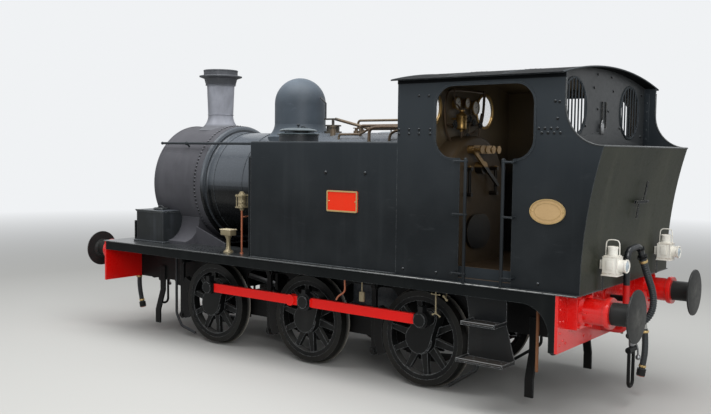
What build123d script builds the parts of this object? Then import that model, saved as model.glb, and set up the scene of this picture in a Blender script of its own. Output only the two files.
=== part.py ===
from build123d import *
from math import atan2, cos, degrees, hypot, pi, radians, sin, sqrt, tan
import os

os.makedirs("parts", exist_ok=True)

# Six-coupled side tank shunting locomotive, in millimetres.
# +X is forward to the chimney, +Y is the engine's left side, +Z is up.
# The origin is midway between the buffer faces on the plane of the flange tips.

# Wheels and axles
tread_radius = 515
flange_height = 28
wheel_spacing = 1600
back_to_back = 1362
tyre_width = 127
tyre_thickness = 65
spoke_count = 10
hub_radius = 165
axle_radius = 82
crank_throw = 280
crankpin_radius = 52
left_crank_angle = 119
quarter_turn = 90

# Lengths forward from the rear buffer beam's face
beam_to_beam = 6650
trailing_from_beam = 1740
cab_front_from_beam = 1815
tank_front_from_beam = 3900
smokebox_rear_from_beam = 5235
smokebox_length = 917
chimney_from_beam = 5677
dome_from_beam = 4190

# Frames and running plate
frame_inner = 610
frame_thickness = 28
plate_top = 1266
plate_thickness = 12
plate_half_width = 1262
rear_overhang = 174
valance_depth = 110
valance_thickness = 14
beam_half_width = 1245
beam_bottom = 719
beam_thickness = 28

# Boiler
boiler_height = 2057
boiler_radius = 695
smokebox_radius = 790
smokebox_wall = 16
chimney_top = 3628
dome_top = 3458
dome_radius = 330

# Tanks, cab and bunker
side_half_width = 1200
sheet = 10
tank_top = 2628
tank_width = 462
roof_centre = 3373
roof_edge = 3238
roof_overhang = 85
roof_half_width = side_half_width + roof_overhang
roof_thickness = 12
roof_front_overhang = 35

# Buffers
buffer_centre = 870
buffer_height = 1082
buffer_reach = 599
buffer_head_radius = 242

# Clearances
running_clearance = 0.1
moving_gap = 6

# Places worked out from the values above
rear = -beam_to_beam / 2
front = beam_to_beam / 2
axle_height = tread_radius + flange_height
plate_under = plate_top - plate_thickness
smokebox_rear = rear + smokebox_rear_from_beam
smokebox_front = smokebox_rear + smokebox_length
cab_front = rear + cab_front_from_beam
tank_front = rear + tank_front_from_beam
trailing_axle = rear + trailing_from_beam
driving_axle = trailing_axle + wheel_spacing
leading_axle = driving_axle + wheel_spacing
axles = {"trailing": trailing_axle, "driving": driving_axle, "leading": leading_axle}
tyre_back = back_to_back / 2
tyre_face = tyre_back + tyre_width
frame_outer = frame_inner + frame_thickness
right_crank_angle = left_crank_angle - quarter_turn
crank_angles = {1: left_crank_angle, -1: right_crank_angle}


def upright(y):
    # a plane facing the engine's right side, drawn in X and Z
    return Plane.XZ.offset(-y)


def across(x):
    # a plane facing forward, drawn in Y and Z
    return Plane.YZ.offset(x)


def finish(node, part):
    part.part.label = node
    export_step(part.part, "parts/" + node + ".step")


# Main frames: two plates with horn gaps closed by keeps
horn_width = 230
horn_top = axle_height + 170
keep_depth = 34
frame_bottom = 428
frame_slope = 230
with BuildPart() as frame_plates:
    for side in (-1, 1):
        with BuildSketch(upright(side * frame_inner)):
            with BuildLine():
                Polyline(
                    (rear + beam_thickness, plate_under),
                    (rear + beam_thickness, beam_bottom),
                    (trailing_axle - 620, beam_bottom),
                    (trailing_axle - 620 + frame_slope, frame_bottom),
                    (leading_axle + 330, frame_bottom),
                    (leading_axle + 330 + frame_slope, beam_bottom),
                    (front - beam_thickness, beam_bottom),
                    (front - beam_thickness, plate_under),
                    close=True,
                )
            make_face()
            for axle in axles.values():
                with Locations((axle, (frame_bottom + horn_top) / 2)):
                    Rectangle(horn_width, horn_top - frame_bottom, mode=Mode.SUBTRACT)
                with Locations((axle, frame_bottom - keep_depth / 2)):
                    Rectangle(horn_width + 120, keep_depth)
            for axle in (trailing_axle, driving_axle):
                with Locations((axle + wheel_spacing / 2, axle_height + 330)):
                    SlotOverall(760, 260, mode=Mode.SUBTRACT)
        extrude(amount=-side * frame_thickness)
finish("frame_plates", frame_plates)

# Axleboxes slide in the horns and hold the journals
axlebox_inner = 556
axlebox_outer = 672
axlebox_height = 270
with BuildPart() as axleboxes:
    for side in (-1, 1):
        for axle in axles.values():
            with BuildSketch(upright(side * axlebox_inner)):
                with Locations((axle, frame_bottom + axlebox_height / 2)):
                    Rectangle(horn_width, axlebox_height)
                with Locations((axle, axle_height)):
                    Circle(axle_radius + running_clearance, mode=Mode.SUBTRACT)
            extrude(amount=-side * (axlebox_outer - axlebox_inner))
finish("axleboxes", axleboxes)

# Frame stretchers: drag boxes at both ends, the motion plate and a middle stay
motion_plate = driving_axle + 690
stretchers = [
    # centre x, length, bottom, top
    (rear + beam_thickness + 170, 30, beam_bottom + 40, plate_under),
    (trailing_axle - 330, 30, 640, plate_under),
    (motion_plate, 36, 600, 1180),
    (front - beam_thickness - 250, 30, beam_bottom + 40, plate_under),
]
with BuildPart() as frame_stretchers:
    for place, length, bottom, top in stretchers:
        with BuildSketch(across(place - length / 2)):
            with Locations((0, (bottom + top) / 2)):
                Rectangle(2 * frame_inner, top - bottom)
                with Locations((-270, 0), (270, 0)):
                    SlotOverall(330, 190, mode=Mode.SUBTRACT)
        extrude(amount=length)
finish("frame_stretchers", frame_stretchers)

# Cylinder block between the frames, inclined to clear the leading axle
cylinder_slope = 1 / 7
cylinder_tilt = degrees(atan2(cylinder_slope, 1))
cylinder_centre = rear + 5600
cylinder_length = 640
cylinder_bore_spacing = 290
cylinder_height = axle_height + (cylinder_centre - driving_axle) * cylinder_slope
block_depth = 500
cylinder_plane = Plane(
    origin=(cylinder_centre, 0, cylinder_height),
    x_dir=(cos(radians(cylinder_tilt)), 0, sin(radians(cylinder_tilt))),
    z_dir=(0, -1, 0),
)
with BuildPart() as cylinder_block:
    with BuildSketch(cylinder_plane):
        Rectangle(cylinder_length, block_depth)
    extrude(amount=frame_inner, both=True)
    chamfer(cylinder_block.edges().filter_by(Axis.Y), 45)
    for end in (-1, 1):
        cover_plane = Plane(
            origin=cylinder_plane.from_local_coords((end * cylinder_length / 2, 0, 0)),
            x_dir=(0, 1, 0),
            z_dir=cylinder_plane.x_dir * end,
        )
        with BuildSketch(cover_plane):
            with Locations((-cylinder_bore_spacing, 0), (cylinder_bore_spacing, 0)):
                Circle(225)
        extrude(amount=34)
        with BuildSketch(cover_plane.offset(34)):
            with Locations((-cylinder_bore_spacing, 0), (cylinder_bore_spacing, 0)):
                Circle(110 if end > 0 else 70)
        extrude(amount=30)
finish("cylinder_block", cylinder_block)

# Slide bars run from the cylinder covers to the motion plate
bar_gap = 100
bar_thickness = 40
bar_front = -cylinder_length / 2 - 34
bar_rear = -(cylinder_centre - motion_plate + 60)
with BuildPart() as slide_bars:
    for bore in (-cylinder_bore_spacing, cylinder_bore_spacing):
        for level in (-bar_gap, bar_gap):
            with BuildSketch(cylinder_plane.offset(-bore)):
                with Locations(((bar_front + bar_rear) / 2, level)):
                    Rectangle(bar_front - bar_rear, bar_thickness)
            extrude(amount=45, both=True)
    split(bisect_by=across(motion_plate + 18), keep=Keep.TOP)
finish("slide_bars", slide_bars)

# Laminated springs hung below the frames
leaf_count = 7
leaf_thickness = 12
leaf_width = 84
spring_span = 900
spring_middle = (frame_inner + frame_outer) / 2
spring_top = frame_bottom - keep_depth
spring_camber = 46
with BuildPart() as leaf_springs:
    for side in (-1, 1):
        for axle in axles.values():
            with BuildSketch(upright(side * spring_middle)):
                for leaf in range(leaf_count):
                    half = spring_span / 2 * (1 - leaf / leaf_count * 0.85)
                    level = spring_top - 40 - leaf * leaf_thickness
                    rise = spring_camber * (2 * half / spring_span) ** 2
                    with BuildLine():
                        ThreePointArc((axle - half, level + rise), (axle, level), (axle + half, level + rise))
                        Line((axle + half, level + rise), (axle + half, level + rise - leaf_thickness))
                        ThreePointArc(
                            (axle + half, level + rise - leaf_thickness),
                            (axle, level - leaf_thickness),
                            (axle - half, level + rise - leaf_thickness),
                        )
                        Line((axle - half, level + rise - leaf_thickness), (axle - half, level + rise))
                    make_face()
                with Locations((axle, spring_top - 20 - leaf_count * leaf_thickness / 2)):
                    Rectangle(90, 40 + leaf_count * leaf_thickness)
                for end in (-1, 1):
                    with Locations((axle + end * (spring_span / 2 - 14), (frame_bottom + spring_top) / 2 - 6)):
                        Rectangle(26, frame_bottom - spring_top + 12)
            extrude(amount=leaf_width / 2, both=True)
finish("leaf_springs", leaf_springs)

# Running plate, open between the frames under the boiler
motion_opening = (trailing_axle + 110, rear + 5204)
with BuildPart() as running_plate:
    with BuildSketch(Plane.XY.offset(plate_under)):
        with Locations(((rear - rear_overhang + front) / 2, 0)):
            Rectangle(front - rear + rear_overhang, 2 * plate_half_width)
        with Locations(((motion_opening[0] + motion_opening[1]) / 2, 0)):
            Rectangle(motion_opening[1] - motion_opening[0], 2 * frame_inner - 60, mode=Mode.SUBTRACT)
    extrude(amount=plate_thickness)
finish("running_plate", running_plate)

# Valances curve down behind the cab to the foot of the rear beam
valance_leg = (rear + 6, rear + 90)
valance_curve_start = rear + 370
valance_bottom = plate_under - valance_depth
with BuildPart() as valances:
    for side in (-1, 1):
        with BuildSketch(upright(side * (beam_half_width - valance_thickness))):
            with BuildLine():
                bottom_line = Line((front - beam_thickness, valance_bottom), (valance_curve_start, valance_bottom))
                inner_curve = TangentArc(
                    bottom_line @ 1,
                    (valance_leg[1], valance_bottom - (valance_curve_start - valance_leg[1])),
                    tangent=(-1, 0),
                )
                Polyline(
                    inner_curve @ 1,
                    (valance_leg[1], beam_bottom),
                    (rear + beam_thickness, beam_bottom),
                    (rear + beam_thickness, plate_under),
                    (front - beam_thickness, plate_under),
                    bottom_line @ 0,
                )
            make_face()
        extrude(amount=-side * valance_thickness)
finish("valances", valances)

# Buffer beams with the slot for the drawhook's shank
hook_shank = 56
ends = ((rear, -1), (front, 1))
with BuildPart() as buffer_beams:
    for place, facing in ends:
        with BuildSketch(across(place)):
            with Locations((0, (beam_bottom + plate_under) / 2)):
                Rectangle(2 * beam_half_width, plate_under - beam_bottom)
            with Locations((0, buffer_height)):
                Rectangle(hook_shank, hook_shank, mode=Mode.SUBTRACT)
        extrude(amount=-facing * beam_thickness)
        with BuildSketch(across(place)):
            with Locations((0, buffer_height)):
                Circle(170)
                Rectangle(hook_shank, hook_shank, mode=Mode.SUBTRACT)
        extrude(amount=facing * 14)
finish("buffer_beams", buffer_beams)

# Buffers: a packing block, a flanged housing, a ram and a round head
packing = 95
housing_length = 365
housing_radius = 122
ram_radius = 104
head_thickness = 34
with BuildPart() as buffer_housings:
    for place, facing in ends:
        for side in (-1, 1):
            with BuildSketch(across(place)):
                with Locations((side * buffer_centre, buffer_height)):
                    Rectangle(330, 330)
            extrude(amount=facing * packing)
            with BuildSketch(Plane.XY.offset(buffer_height)):
                with BuildLine():
                    Polyline(
                        (place + facing * packing, side * buffer_centre),
                        (place + facing * packing, side * buffer_centre + 150),
                        (place + facing * (packing + 22), side * buffer_centre + housing_radius),
                        (place + facing * (housing_length - 58), side * buffer_centre + housing_radius),
                        (place + facing * (housing_length - 50), side * buffer_centre + housing_radius + 20),
                        (place + facing * housing_length, side * buffer_centre + housing_radius + 20),
                        (place + facing * housing_length, side * buffer_centre),
                        close=True,
                    )
                make_face()
            revolve(axis=Axis((place, side * buffer_centre, buffer_height), (1, 0, 0)))
finish("buffer_housings", buffer_housings)

with BuildPart() as buffer_heads:
    for place, facing in ends:
        for side in (-1, 1):
            face = place + facing * buffer_reach
            back = face - facing * head_thickness
            with BuildSketch(Plane.XY.offset(buffer_height)):
                with BuildLine():
                    middle = side * buffer_centre
                    Line((face, middle), (face, middle + 70))
                    crown = ThreePointArc(
                        (face, middle + 70),
                        (face - facing * 4, middle + 160),
                        (face - facing * 12, middle + buffer_head_radius),
                    )
                    Polyline(
                        crown @ 1,
                        (face - facing * 24, middle + buffer_head_radius),
                        (back, middle + ram_radius + 30),
                        (back - facing * 16, middle + ram_radius),
                        (place + facing * housing_length, middle + ram_radius),
                        (place + facing * housing_length, middle),
                        (face, middle),
                    )
                make_face()
            revolve(axis=Axis((place, middle, buffer_height), (1, 0, 0)))
finish("buffer_heads", buffer_heads)

# Drawhooks
hook_thickness = 52
hook_eye = (238, 52)
link_radius = 17
with BuildPart() as drawhooks:
    for place, facing in ends:
        with BuildSketch(Plane.XZ):
            with BuildLine():
                Polyline(
                    (place - facing * 120, buffer_height - 26),
                    (place + facing * 190, buffer_height - 26),
                    (place + facing * 205, buffer_height - 75),
                    (place + facing * 265, buffer_height - 90),
                    (place + facing * 335, buffer_height - 55),
                    (place + facing * 352, buffer_height + 10),
                    (place + facing * 330, buffer_height + 75),
                    (place + facing * 285, buffer_height + 60),
                    (place + facing * 292, buffer_height + 5),
                    (place + facing * 262, buffer_height - 22),
                    (place + facing * 228, buffer_height + 2),
                    (place + facing * 190, buffer_height + 26),
                    (place - facing * 120, buffer_height + 26),
                    close=True,
                )
            make_face()
            with Locations((place + facing * hook_eye[0], buffer_height - hook_eye[1])):
                Circle(link_radius + 1, mode=Mode.SUBTRACT)
        extrude(amount=hook_thickness / 2, both=True)
finish("drawhooks", drawhooks)

# Screw couplings hang from the drawhooks: eyed links, a screw between two nuts and a loop
coupling_half = 62
link_thickness = 24
nut_drop = 300
screw_length = 150
loop_level = 205
pin_level = buffer_height - hook_eye[1]
nut_level = pin_level - nut_drop
tail_level = nut_level - screw_length
with BuildPart() as screw_couplings:
    for place, facing in ends:
        hang = place + facing * hook_eye[0]
        with BuildSketch(upright(coupling_half + link_thickness)):
            with Locations((hang, pin_level)):
                Circle(link_radius)
        extrude(amount=2 * (coupling_half + link_thickness))
        for side in (-1, 1):
            with BuildSketch(upright(side * (coupling_half - link_thickness / 2))):
                with Locations((hang, (pin_level + nut_level) / 2)):
                    SlotOverall(nut_drop + 64, 52, rotation=90)
            extrude(amount=-side * link_thickness)
        for level in (nut_level, tail_level):
            with BuildSketch(upright(coupling_half + 30)):
                with Locations((hang, level)):
                    Circle(30)
            extrude(amount=2 * (coupling_half + 30))
        with BuildSketch(Plane.XY.offset(tail_level - 40)):
            with Locations((hang, 0)):
                Circle(23)
        extrude(amount=screw_length + 80)
        with BuildLine():
            FilletPolyline(
                (hang, -coupling_half, tail_level),
                (hang, -coupling_half, loop_level),
                (hang, coupling_half, loop_level),
                (hang, coupling_half, tail_level),
                radius=coupling_half - 4,
            )
        with BuildSketch(Plane.XY.offset(tail_level)):
            with Locations((hang, -coupling_half)):
                Circle(link_radius)
        sweep()
finish("screw_couplings", screw_couplings)

# Smokebox: a riveted drum with an open front and the hinge pin of its door
smokebox_plate = 20
door_opening_radius = 495
door_radius = 530
door_back = smokebox_front + moving_gap
door_hinge_y = door_radius + 55
door_hinge_x = door_back + 22
door_pin_radius = 10
with BuildPart() as smokebox:
    with BuildSketch(across(smokebox_rear)):
        with Locations((0, boiler_height)):
            Circle(smokebox_radius)
    extrude(amount=smokebox_length)
    with BuildSketch(across(smokebox_rear + 16)):
        with Locations((0, boiler_height)):
            Circle(smokebox_radius - smokebox_wall)
    extrude(amount=smokebox_length - 16 - smokebox_plate, mode=Mode.SUBTRACT)
    with BuildSketch(across(smokebox_front - smokebox_plate)):
        with Locations((0, boiler_height)):
            Circle(door_opening_radius)
    extrude(amount=smokebox_plate, mode=Mode.SUBTRACT)
    with BuildSketch(Plane.XY.offset(boiler_height)):
        with Locations((rear + chimney_from_beam, 0)):
            Circle(150)
    extrude(amount=smokebox_radius + 20, mode=Mode.SUBTRACT)
    for level in (-262, 262):
        with BuildSketch(Plane.XY.offset(boiler_height + level - 18)):
            with Locations((door_hinge_x, door_hinge_y)):
                Circle(22)
            with Locations(((smokebox_front + door_hinge_x) / 2, door_hinge_y)):
                Rectangle(door_hinge_x - smokebox_front, 44)
        extrude(amount=36)
    with Locations((door_hinge_x, door_hinge_y, boiler_height)):
        Cylinder(door_pin_radius, 560)
finish("smokebox", smokebox)

# Saddle with flared sides, cut to the smokebox's curve
saddle_rear = rear + 5394
saddle_half_top = 660
saddle_half_base = 900
saddle_top = boiler_height - 420
stay_y = 690
stay_top = 1498
stay_reach = 550
stay_toe = 44
with BuildPart() as saddle_block:
    with BuildSketch(across(saddle_rear)):
        with BuildLine():
            Line((-saddle_half_base, plate_top), (saddle_half_base, plate_top))
            Line((saddle_half_base, plate_top), (saddle_half_base, plate_top + 40))
            TangentArc((saddle_half_base, plate_top + 40), (saddle_half_top, saddle_top), tangent=(-1, 0.15))
            Line((saddle_half_top, saddle_top), (-saddle_half_top, saddle_top))
            TangentArc((-saddle_half_base, plate_top + 40), (-saddle_half_top, saddle_top), tangent=(1, 0.15))
            Line((-saddle_half_base, plate_top + 40), (-saddle_half_base, plate_top))
        make_face()
    extrude(amount=smokebox_front - 10 - saddle_rear)
with BuildPart() as smokebox_drum:
    with BuildSketch(across(smokebox_rear)):
        with Locations((0, boiler_height)):
            Circle(smokebox_radius)
    extrude(amount=smokebox_length)
with BuildPart() as smokebox_saddle:
    add(saddle_block.part)
    add(smokebox_drum.part, mode=Mode.SUBTRACT)
    for side in (-1, 1):
        with BuildSketch(upright(side * stay_y)):
            Polygon(
                (saddle_rear, plate_top),
                (saddle_rear, stay_top),
                (saddle_rear - stay_reach, plate_top + stay_toe),
                (saddle_rear - stay_reach, plate_top),
                align=None,
            )
        extrude(amount=-side * 20)
finish("smokebox_saddle", smokebox_saddle)

# Smokebox door: a dished disc on two straps, with its dart handles
door_dish = 120
with BuildPart() as smokebox_door:
    with BuildSketch(Plane.XY.offset(boiler_height)):
        with BuildLine():
            Line((door_back, 0), (door_back, door_radius))
            Line((door_back, door_radius), (door_back + 18, door_radius))
            ThreePointArc(
                (door_back + 18, door_radius),
                (door_back + 18 + door_dish * 0.78, door_radius / 2),
                (door_back + 18 + door_dish, 0),
            )
            Line((door_back + 18 + door_dish, 0), (door_back, 0))
        make_face()
    revolve(axis=Axis((door_back, 0, boiler_height), (1, 0, 0)))
    for level in (-200, 200):
        with BuildSketch(Plane.XY.offset(boiler_height + level - 28)):
            with Locations(((door_back + 6 + door_hinge_x + 16) / 2, (door_radius * 0.6 + door_hinge_y) / 2)):
                Rectangle(door_hinge_x + 16 - door_back - 6, door_hinge_y - door_radius * 0.6)
            with Locations((door_hinge_x, door_hinge_y)):
                Circle(24)
        extrude(amount=56)
    with BuildSketch(across(door_back + 18 + door_dish - 20)):
        with Locations((0, boiler_height)):
            Circle(38)
    extrude(amount=110)
    for turn, offset_x in ((100, 60), (215, 86)):
        with BuildSketch(across(door_back + door_dish + offset_x)):
            with Locations((0, boiler_height)):
                with Locations(Rotation(0, 0, turn)):
                    with Locations((105, 0)):
                        SlotOverall(250, 30)
        extrude(amount=22)
    with Locations((door_hinge_x, door_hinge_y, boiler_height)):
        Cylinder(door_pin_radius + running_clearance, 700, mode=Mode.SUBTRACT)
finish("smokebox_door", smokebox_door)

# Boiler: clad barrel with its bands, and the firebox down between the frames
firebox_front = driving_axle - 490
firebox_rear = trailing_axle + 120
firebox_bottom = 660
band_places = [smokebox_rear - 165, smokebox_rear - 680]
band_width = 50
band_rise = 7
with BuildPart() as boiler:
    with BuildSketch(across(cab_front + sheet)):
        with Locations((0, boiler_height)):
            Circle(boiler_radius)
    extrude(amount=smokebox_rear - cab_front - sheet)
    for place in band_places:
        with BuildSketch(across(place)):
            with Locations((0, boiler_height)):
                Circle(boiler_radius + band_rise)
        extrude(amount=band_width)
    with BuildSketch(across(smokebox_rear - 40)):
        with Locations((0, boiler_height)):
            Circle(boiler_radius + 45)
    extrude(amount=40)
    with BuildSketch(Plane.XY.offset(firebox_bottom)):
        with Locations(((firebox_front + firebox_rear) / 2, 0)):
            Rectangle(firebox_front - firebox_rear, 1120)
    extrude(amount=boiler_height - firebox_bottom)
finish("boiler", boiler)

# Chimney: flared foot, tapered barrel, and a cap with its brim
chimney_x = rear + chimney_from_beam
with BuildPart() as chimney:
    with BuildSketch(Plane.XZ):
        with BuildLine():
            Line((chimney_x + 140, chimney_top), (chimney_x + 235, chimney_top))
            Line((chimney_x + 235, chimney_top), (chimney_x + 235, chimney_top - 70))
            Polyline(
                (chimney_x + 235, chimney_top - 70),
                (chimney_x + 296, chimney_top - 82),
                (chimney_x + 296, chimney_top - 96),
                (chimney_x + 228, chimney_top - 120),
                (chimney_x + 208, chimney_top - 195),
                (chimney_x + 191, chimney_top - 205),
                (chimney_x + 174, chimney_top - 620),
            )
            ThreePointArc(
                (chimney_x + 174, chimney_top - 620),
                (chimney_x + 200, boiler_height + smokebox_radius + 50),
                (chimney_x + 330, boiler_height + smokebox_radius - 60),
            )
            Polyline(
                (chimney_x + 330, boiler_height + smokebox_radius - 60),
                (chimney_x + 330, boiler_height + smokebox_radius - 90),
                (chimney_x + 140, boiler_height + smokebox_radius - 90),
                (chimney_x + 140, chimney_top),
            )
        make_face()
    revolve(axis=Axis((chimney_x, 0, 0), (0, 0, 1)))
    with Locations((smokebox_rear + smokebox_length / 2, 0, boiler_height)):
        Cylinder(smokebox_radius, smokebox_length + 400, rotation=(0, 90, 0), mode=Mode.SUBTRACT)
finish("chimney", chimney)

# Steam dome: flared foot, drum and rounded crown
dome_x = rear + dome_from_beam
with BuildPart() as steam_dome:
    with BuildSketch(Plane.XZ):
        with BuildLine():
            ThreePointArc(
                (dome_x, dome_top),
                (dome_x + dome_radius * sin(radians(45)), dome_top - dome_radius * (1 - cos(radians(45)))),
                (dome_x + dome_radius, dome_top - dome_radius),
            )
            Line((dome_x + dome_radius, dome_top - dome_radius), (dome_x + dome_radius, dome_top - 600))
            ThreePointArc(
                (dome_x + dome_radius, dome_top - 600),
                (dome_x + dome_radius + 30, dome_top - 690),
                (dome_x + dome_radius + 90, dome_top - 760),
            )
            Polyline(
                (dome_x + dome_radius + 90, dome_top - 760),
                (dome_x + dome_radius + 90, dome_top - 900),
                (dome_x, dome_top - 900),
                (dome_x, dome_top),
            )
        make_face()
    revolve(axis=Axis((dome_x, 0, 0), (0, 0, 1)))
    with Locations((dome_x, 0, boiler_height)):
        Cylinder(boiler_radius, 1400, rotation=(0, 90, 0), mode=Mode.SUBTRACT)
    with Locations((band_places[1] + band_width / 2, 0, boiler_height)):
        Cylinder(boiler_radius + band_rise, band_width, rotation=(0, 90, 0), mode=Mode.SUBTRACT)
finish("steam_dome", steam_dome)

# Side tanks with rounded outer edges
tank_inner = side_half_width - tank_width
for node, side in (("left_tank", 1), ("right_tank", -1)):
    with BuildPart() as tank:
        with BuildSketch(across(cab_front)):
            with Locations((side * (side_half_width - tank_width / 2), (plate_top + tank_top) / 2)):
                Rectangle(tank_width, tank_top - plate_top)
        extrude(amount=tank_front - cab_front)
        outer = tank.edges().filter_by(Axis.X).sort_by(Axis.Z)[-2:].sort_by(Axis.Y)
        fillet(outer[-1] if side > 0 else outer[0], 22)
    finish(node, tank)

# Tank fillers: a neck on each tank and its hinged lid
filler_x = rear + 3400
filler_y = 930
neck_radius = 225
neck_height = 70
lid_radius = 245
lid_gap = 5
lid_hinge_y = filler_y - lid_radius - 22
lid_base = tank_top + neck_height + lid_gap
with BuildPart() as filler_necks:
    for side in (-1, 1):
        with BuildSketch(Plane.XY.offset(tank_top)):
            with Locations((filler_x, side * filler_y)):
                Circle(neck_radius)
                Circle(neck_radius - 14, mode=Mode.SUBTRACT)
        extrude(amount=neck_height)
        with BuildSketch(Plane.XY.offset(tank_top)):
            with Locations((filler_x, side * filler_y)):
                Circle(neck_radius)
        extrude(amount=8)
        with Locations((filler_x, side * lid_hinge_y, lid_base + 6)):
            Cylinder(9, 124, rotation=(0, 90, 0))
        for end in (-1, 1):
            with BuildSketch(across(filler_x + end * 58 - 7)):
                with Locations((side * lid_hinge_y, (tank_top + lid_base + 20) / 2)):
                    Rectangle(32, lid_base + 20 - tank_top)
            extrude(amount=14)
finish("filler_necks", filler_necks)

for node, side in (("left_filler_lid", 1), ("right_filler_lid", -1)):
    with BuildPart() as filler_lid:
        with BuildSketch(Plane.XZ.offset(-side * filler_y)):
            with BuildLine():
                Polyline(
                    (filler_x, lid_base),
                    (filler_x + lid_radius, lid_base),
                    (filler_x + lid_radius, lid_base + 14),
                    (filler_x + lid_radius - 34, lid_base + 22),
                    (filler_x + lid_radius / 2, lid_base + 33),
                    (filler_x, lid_base + 38),
                    close=True,
                )
            make_face()
        revolve(axis=Axis((filler_x, side * filler_y, 0), (0, 0, 1)))
        with BuildSketch(across(filler_x - 36)):
            with BuildLine():
                Polyline(
                    (side * (lid_hinge_y + 12), lid_base - 8),
                    (side * (lid_hinge_y + 60), lid_base),
                    (side * (filler_y - 60), lid_base + 10),
                    (side * (filler_y - 60), lid_base + 44),
                    (side * (lid_hinge_y + 30), lid_base + 34),
                    (side * (lid_hinge_y - 12), lid_base + 20),
                    (side * (lid_hinge_y - 12), lid_base - 8),
                    close=True,
                )
            make_face()
        extrude(amount=72)
        with Locations((filler_x, side * lid_hinge_y, lid_base + 6)):
            Cylinder(9 + running_clearance, 200, rotation=(0, 90, 0), mode=Mode.SUBTRACT)
    finish(node, filler_lid)

# Cab sides run back into the bunker sides, cut with the side opening and the doorway
bunker_foot = rear - 178
bunker_lip = rear - 360
bunker_lip_height = 2599
bunker_bulge = (rear - 222, 1950)
cutaway_radius = 360
roof_radius = (roof_half_width**2 + (roof_centre - roof_edge) ** 2) / (2 * (roof_centre - roof_edge))


def roof_under(y):
    # height of the roof's underside at a distance from the centre line
    return roof_centre - roof_radius + sqrt(roof_radius**2 - y**2)


side_top = roof_under(side_half_width)
window_left, window_right = rear + 303, rear + 1359
window_bottom, window_top = 2473, 3170
window_radius = 190
doorway = (rear + 505, rear + 1076)
for node, side in (("left_cab_side", 1), ("right_cab_side", -1)):
    with BuildPart() as cab_side:
        with BuildSketch(upright(side * (side_half_width - sheet))):
            with BuildLine():
                Polyline(
                    (bunker_foot, plate_top),
                    (cab_front, plate_top),
                    (cab_front, side_top),
                    (rear, side_top),
                    (rear, bunker_lip_height + cutaway_radius),
                )
                RadiusArc(
                    (rear, bunker_lip_height + cutaway_radius),
                    (bunker_lip, bunker_lip_height),
                    cutaway_radius,
                )
                ThreePointArc((bunker_lip, bunker_lip_height), bunker_bulge, (bunker_foot, plate_top))
            make_face()
            with BuildSketch(mode=Mode.SUBTRACT):
                with Locations(((window_left + window_right) / 2, (window_bottom + window_top) / 2)):
                    RectangleRounded(window_right - window_left, window_top - window_bottom, window_radius)
            with BuildSketch(mode=Mode.SUBTRACT):
                with Locations(((doorway[0] + doorway[1]) / 2, (plate_top + window_bottom + 100) / 2)):
                    Rectangle(doorway[1] - doorway[0], window_bottom + 100 - plate_top)
        extrude(amount=-side * sheet)
    finish(node, cab_side)

# Cab front sheet fits round the boiler and has two round windows
front_window = (585, 3010, 190)
cab_inner = side_half_width - sheet
cab_eave = roof_under(cab_inner)
with BuildPart() as cab_front_sheet:
    with BuildSketch(across(cab_front)):
        with BuildLine():
            Polyline((-cab_inner, cab_eave), (-cab_inner, plate_top), (cab_inner, plate_top))
            Line((cab_inner, plate_top), (cab_inner, cab_eave))
            ThreePointArc((cab_inner, cab_eave), (0, roof_under(0)), (-cab_inner, cab_eave))
        make_face()
        for side in (-1, 1):
            with Locations((side * front_window[0], front_window[1])):
                Circle(front_window[2], mode=Mode.SUBTRACT)
    extrude(amount=-sheet)
finish("cab_front_sheet", cab_front_sheet)

# Cab rear sheet stands in the bunker, with two large barred windows and a peaked plate at its foot
bunker_inner_top = 2430
rear_sheet_x = rear + 125
rear_window = (725, 2968, 265)
rear_sheet_foot = 2300
foot_plate_peak = 2758
foot_plate_fall = 0.126
foot_plate_thickness = 12
with BuildPart() as cab_rear_sheet:
    with BuildSketch(across(rear_sheet_x)):
        with BuildLine():
            Polyline((-cab_inner, cab_eave), (-cab_inner, rear_sheet_foot), (cab_inner, rear_sheet_foot))
            Line((cab_inner, rear_sheet_foot), (cab_inner, cab_eave))
            ThreePointArc((cab_inner, cab_eave), (0, roof_under(0)), (-cab_inner, cab_eave))
        make_face()
        for side in (-1, 1):
            with Locations((side * rear_window[0], rear_window[1])):
                Circle(rear_window[2], mode=Mode.SUBTRACT)
    extrude(amount=sheet)
    with BuildSketch(across(rear_sheet_x)):
        with BuildLine():
            Polyline(
                (-cab_inner, bunker_inner_top),
                (cab_inner, bunker_inner_top),
                (cab_inner, foot_plate_peak - foot_plate_fall * cab_inner),
                (0, foot_plate_peak),
                (-cab_inner, foot_plate_peak - foot_plate_fall * cab_inner),
                close=True,
            )
        make_face()
    extrude(amount=-foot_plate_thickness)
finish("cab_rear_sheet", cab_rear_sheet)

# Upright bars in the rear windows
bar_count = 7
bar_radius = 8
with BuildPart() as window_bars:
    for side in (-1, 1):
        for bar in range(bar_count):
            offset_y = (bar - (bar_count - 1) / 2) * 2 * rear_window[2] / bar_count
            half = sqrt(rear_window[2] ** 2 - offset_y**2)
            with BuildSketch(Plane.XY.offset(rear_window[1] - half - 20)):
                with Locations((rear_sheet_x - bar_radius, side * rear_window[0] + offset_y)):
                    Circle(bar_radius)
            extrude(amount=2 * half + 40)
finish("window_bars", window_bars)

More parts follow.
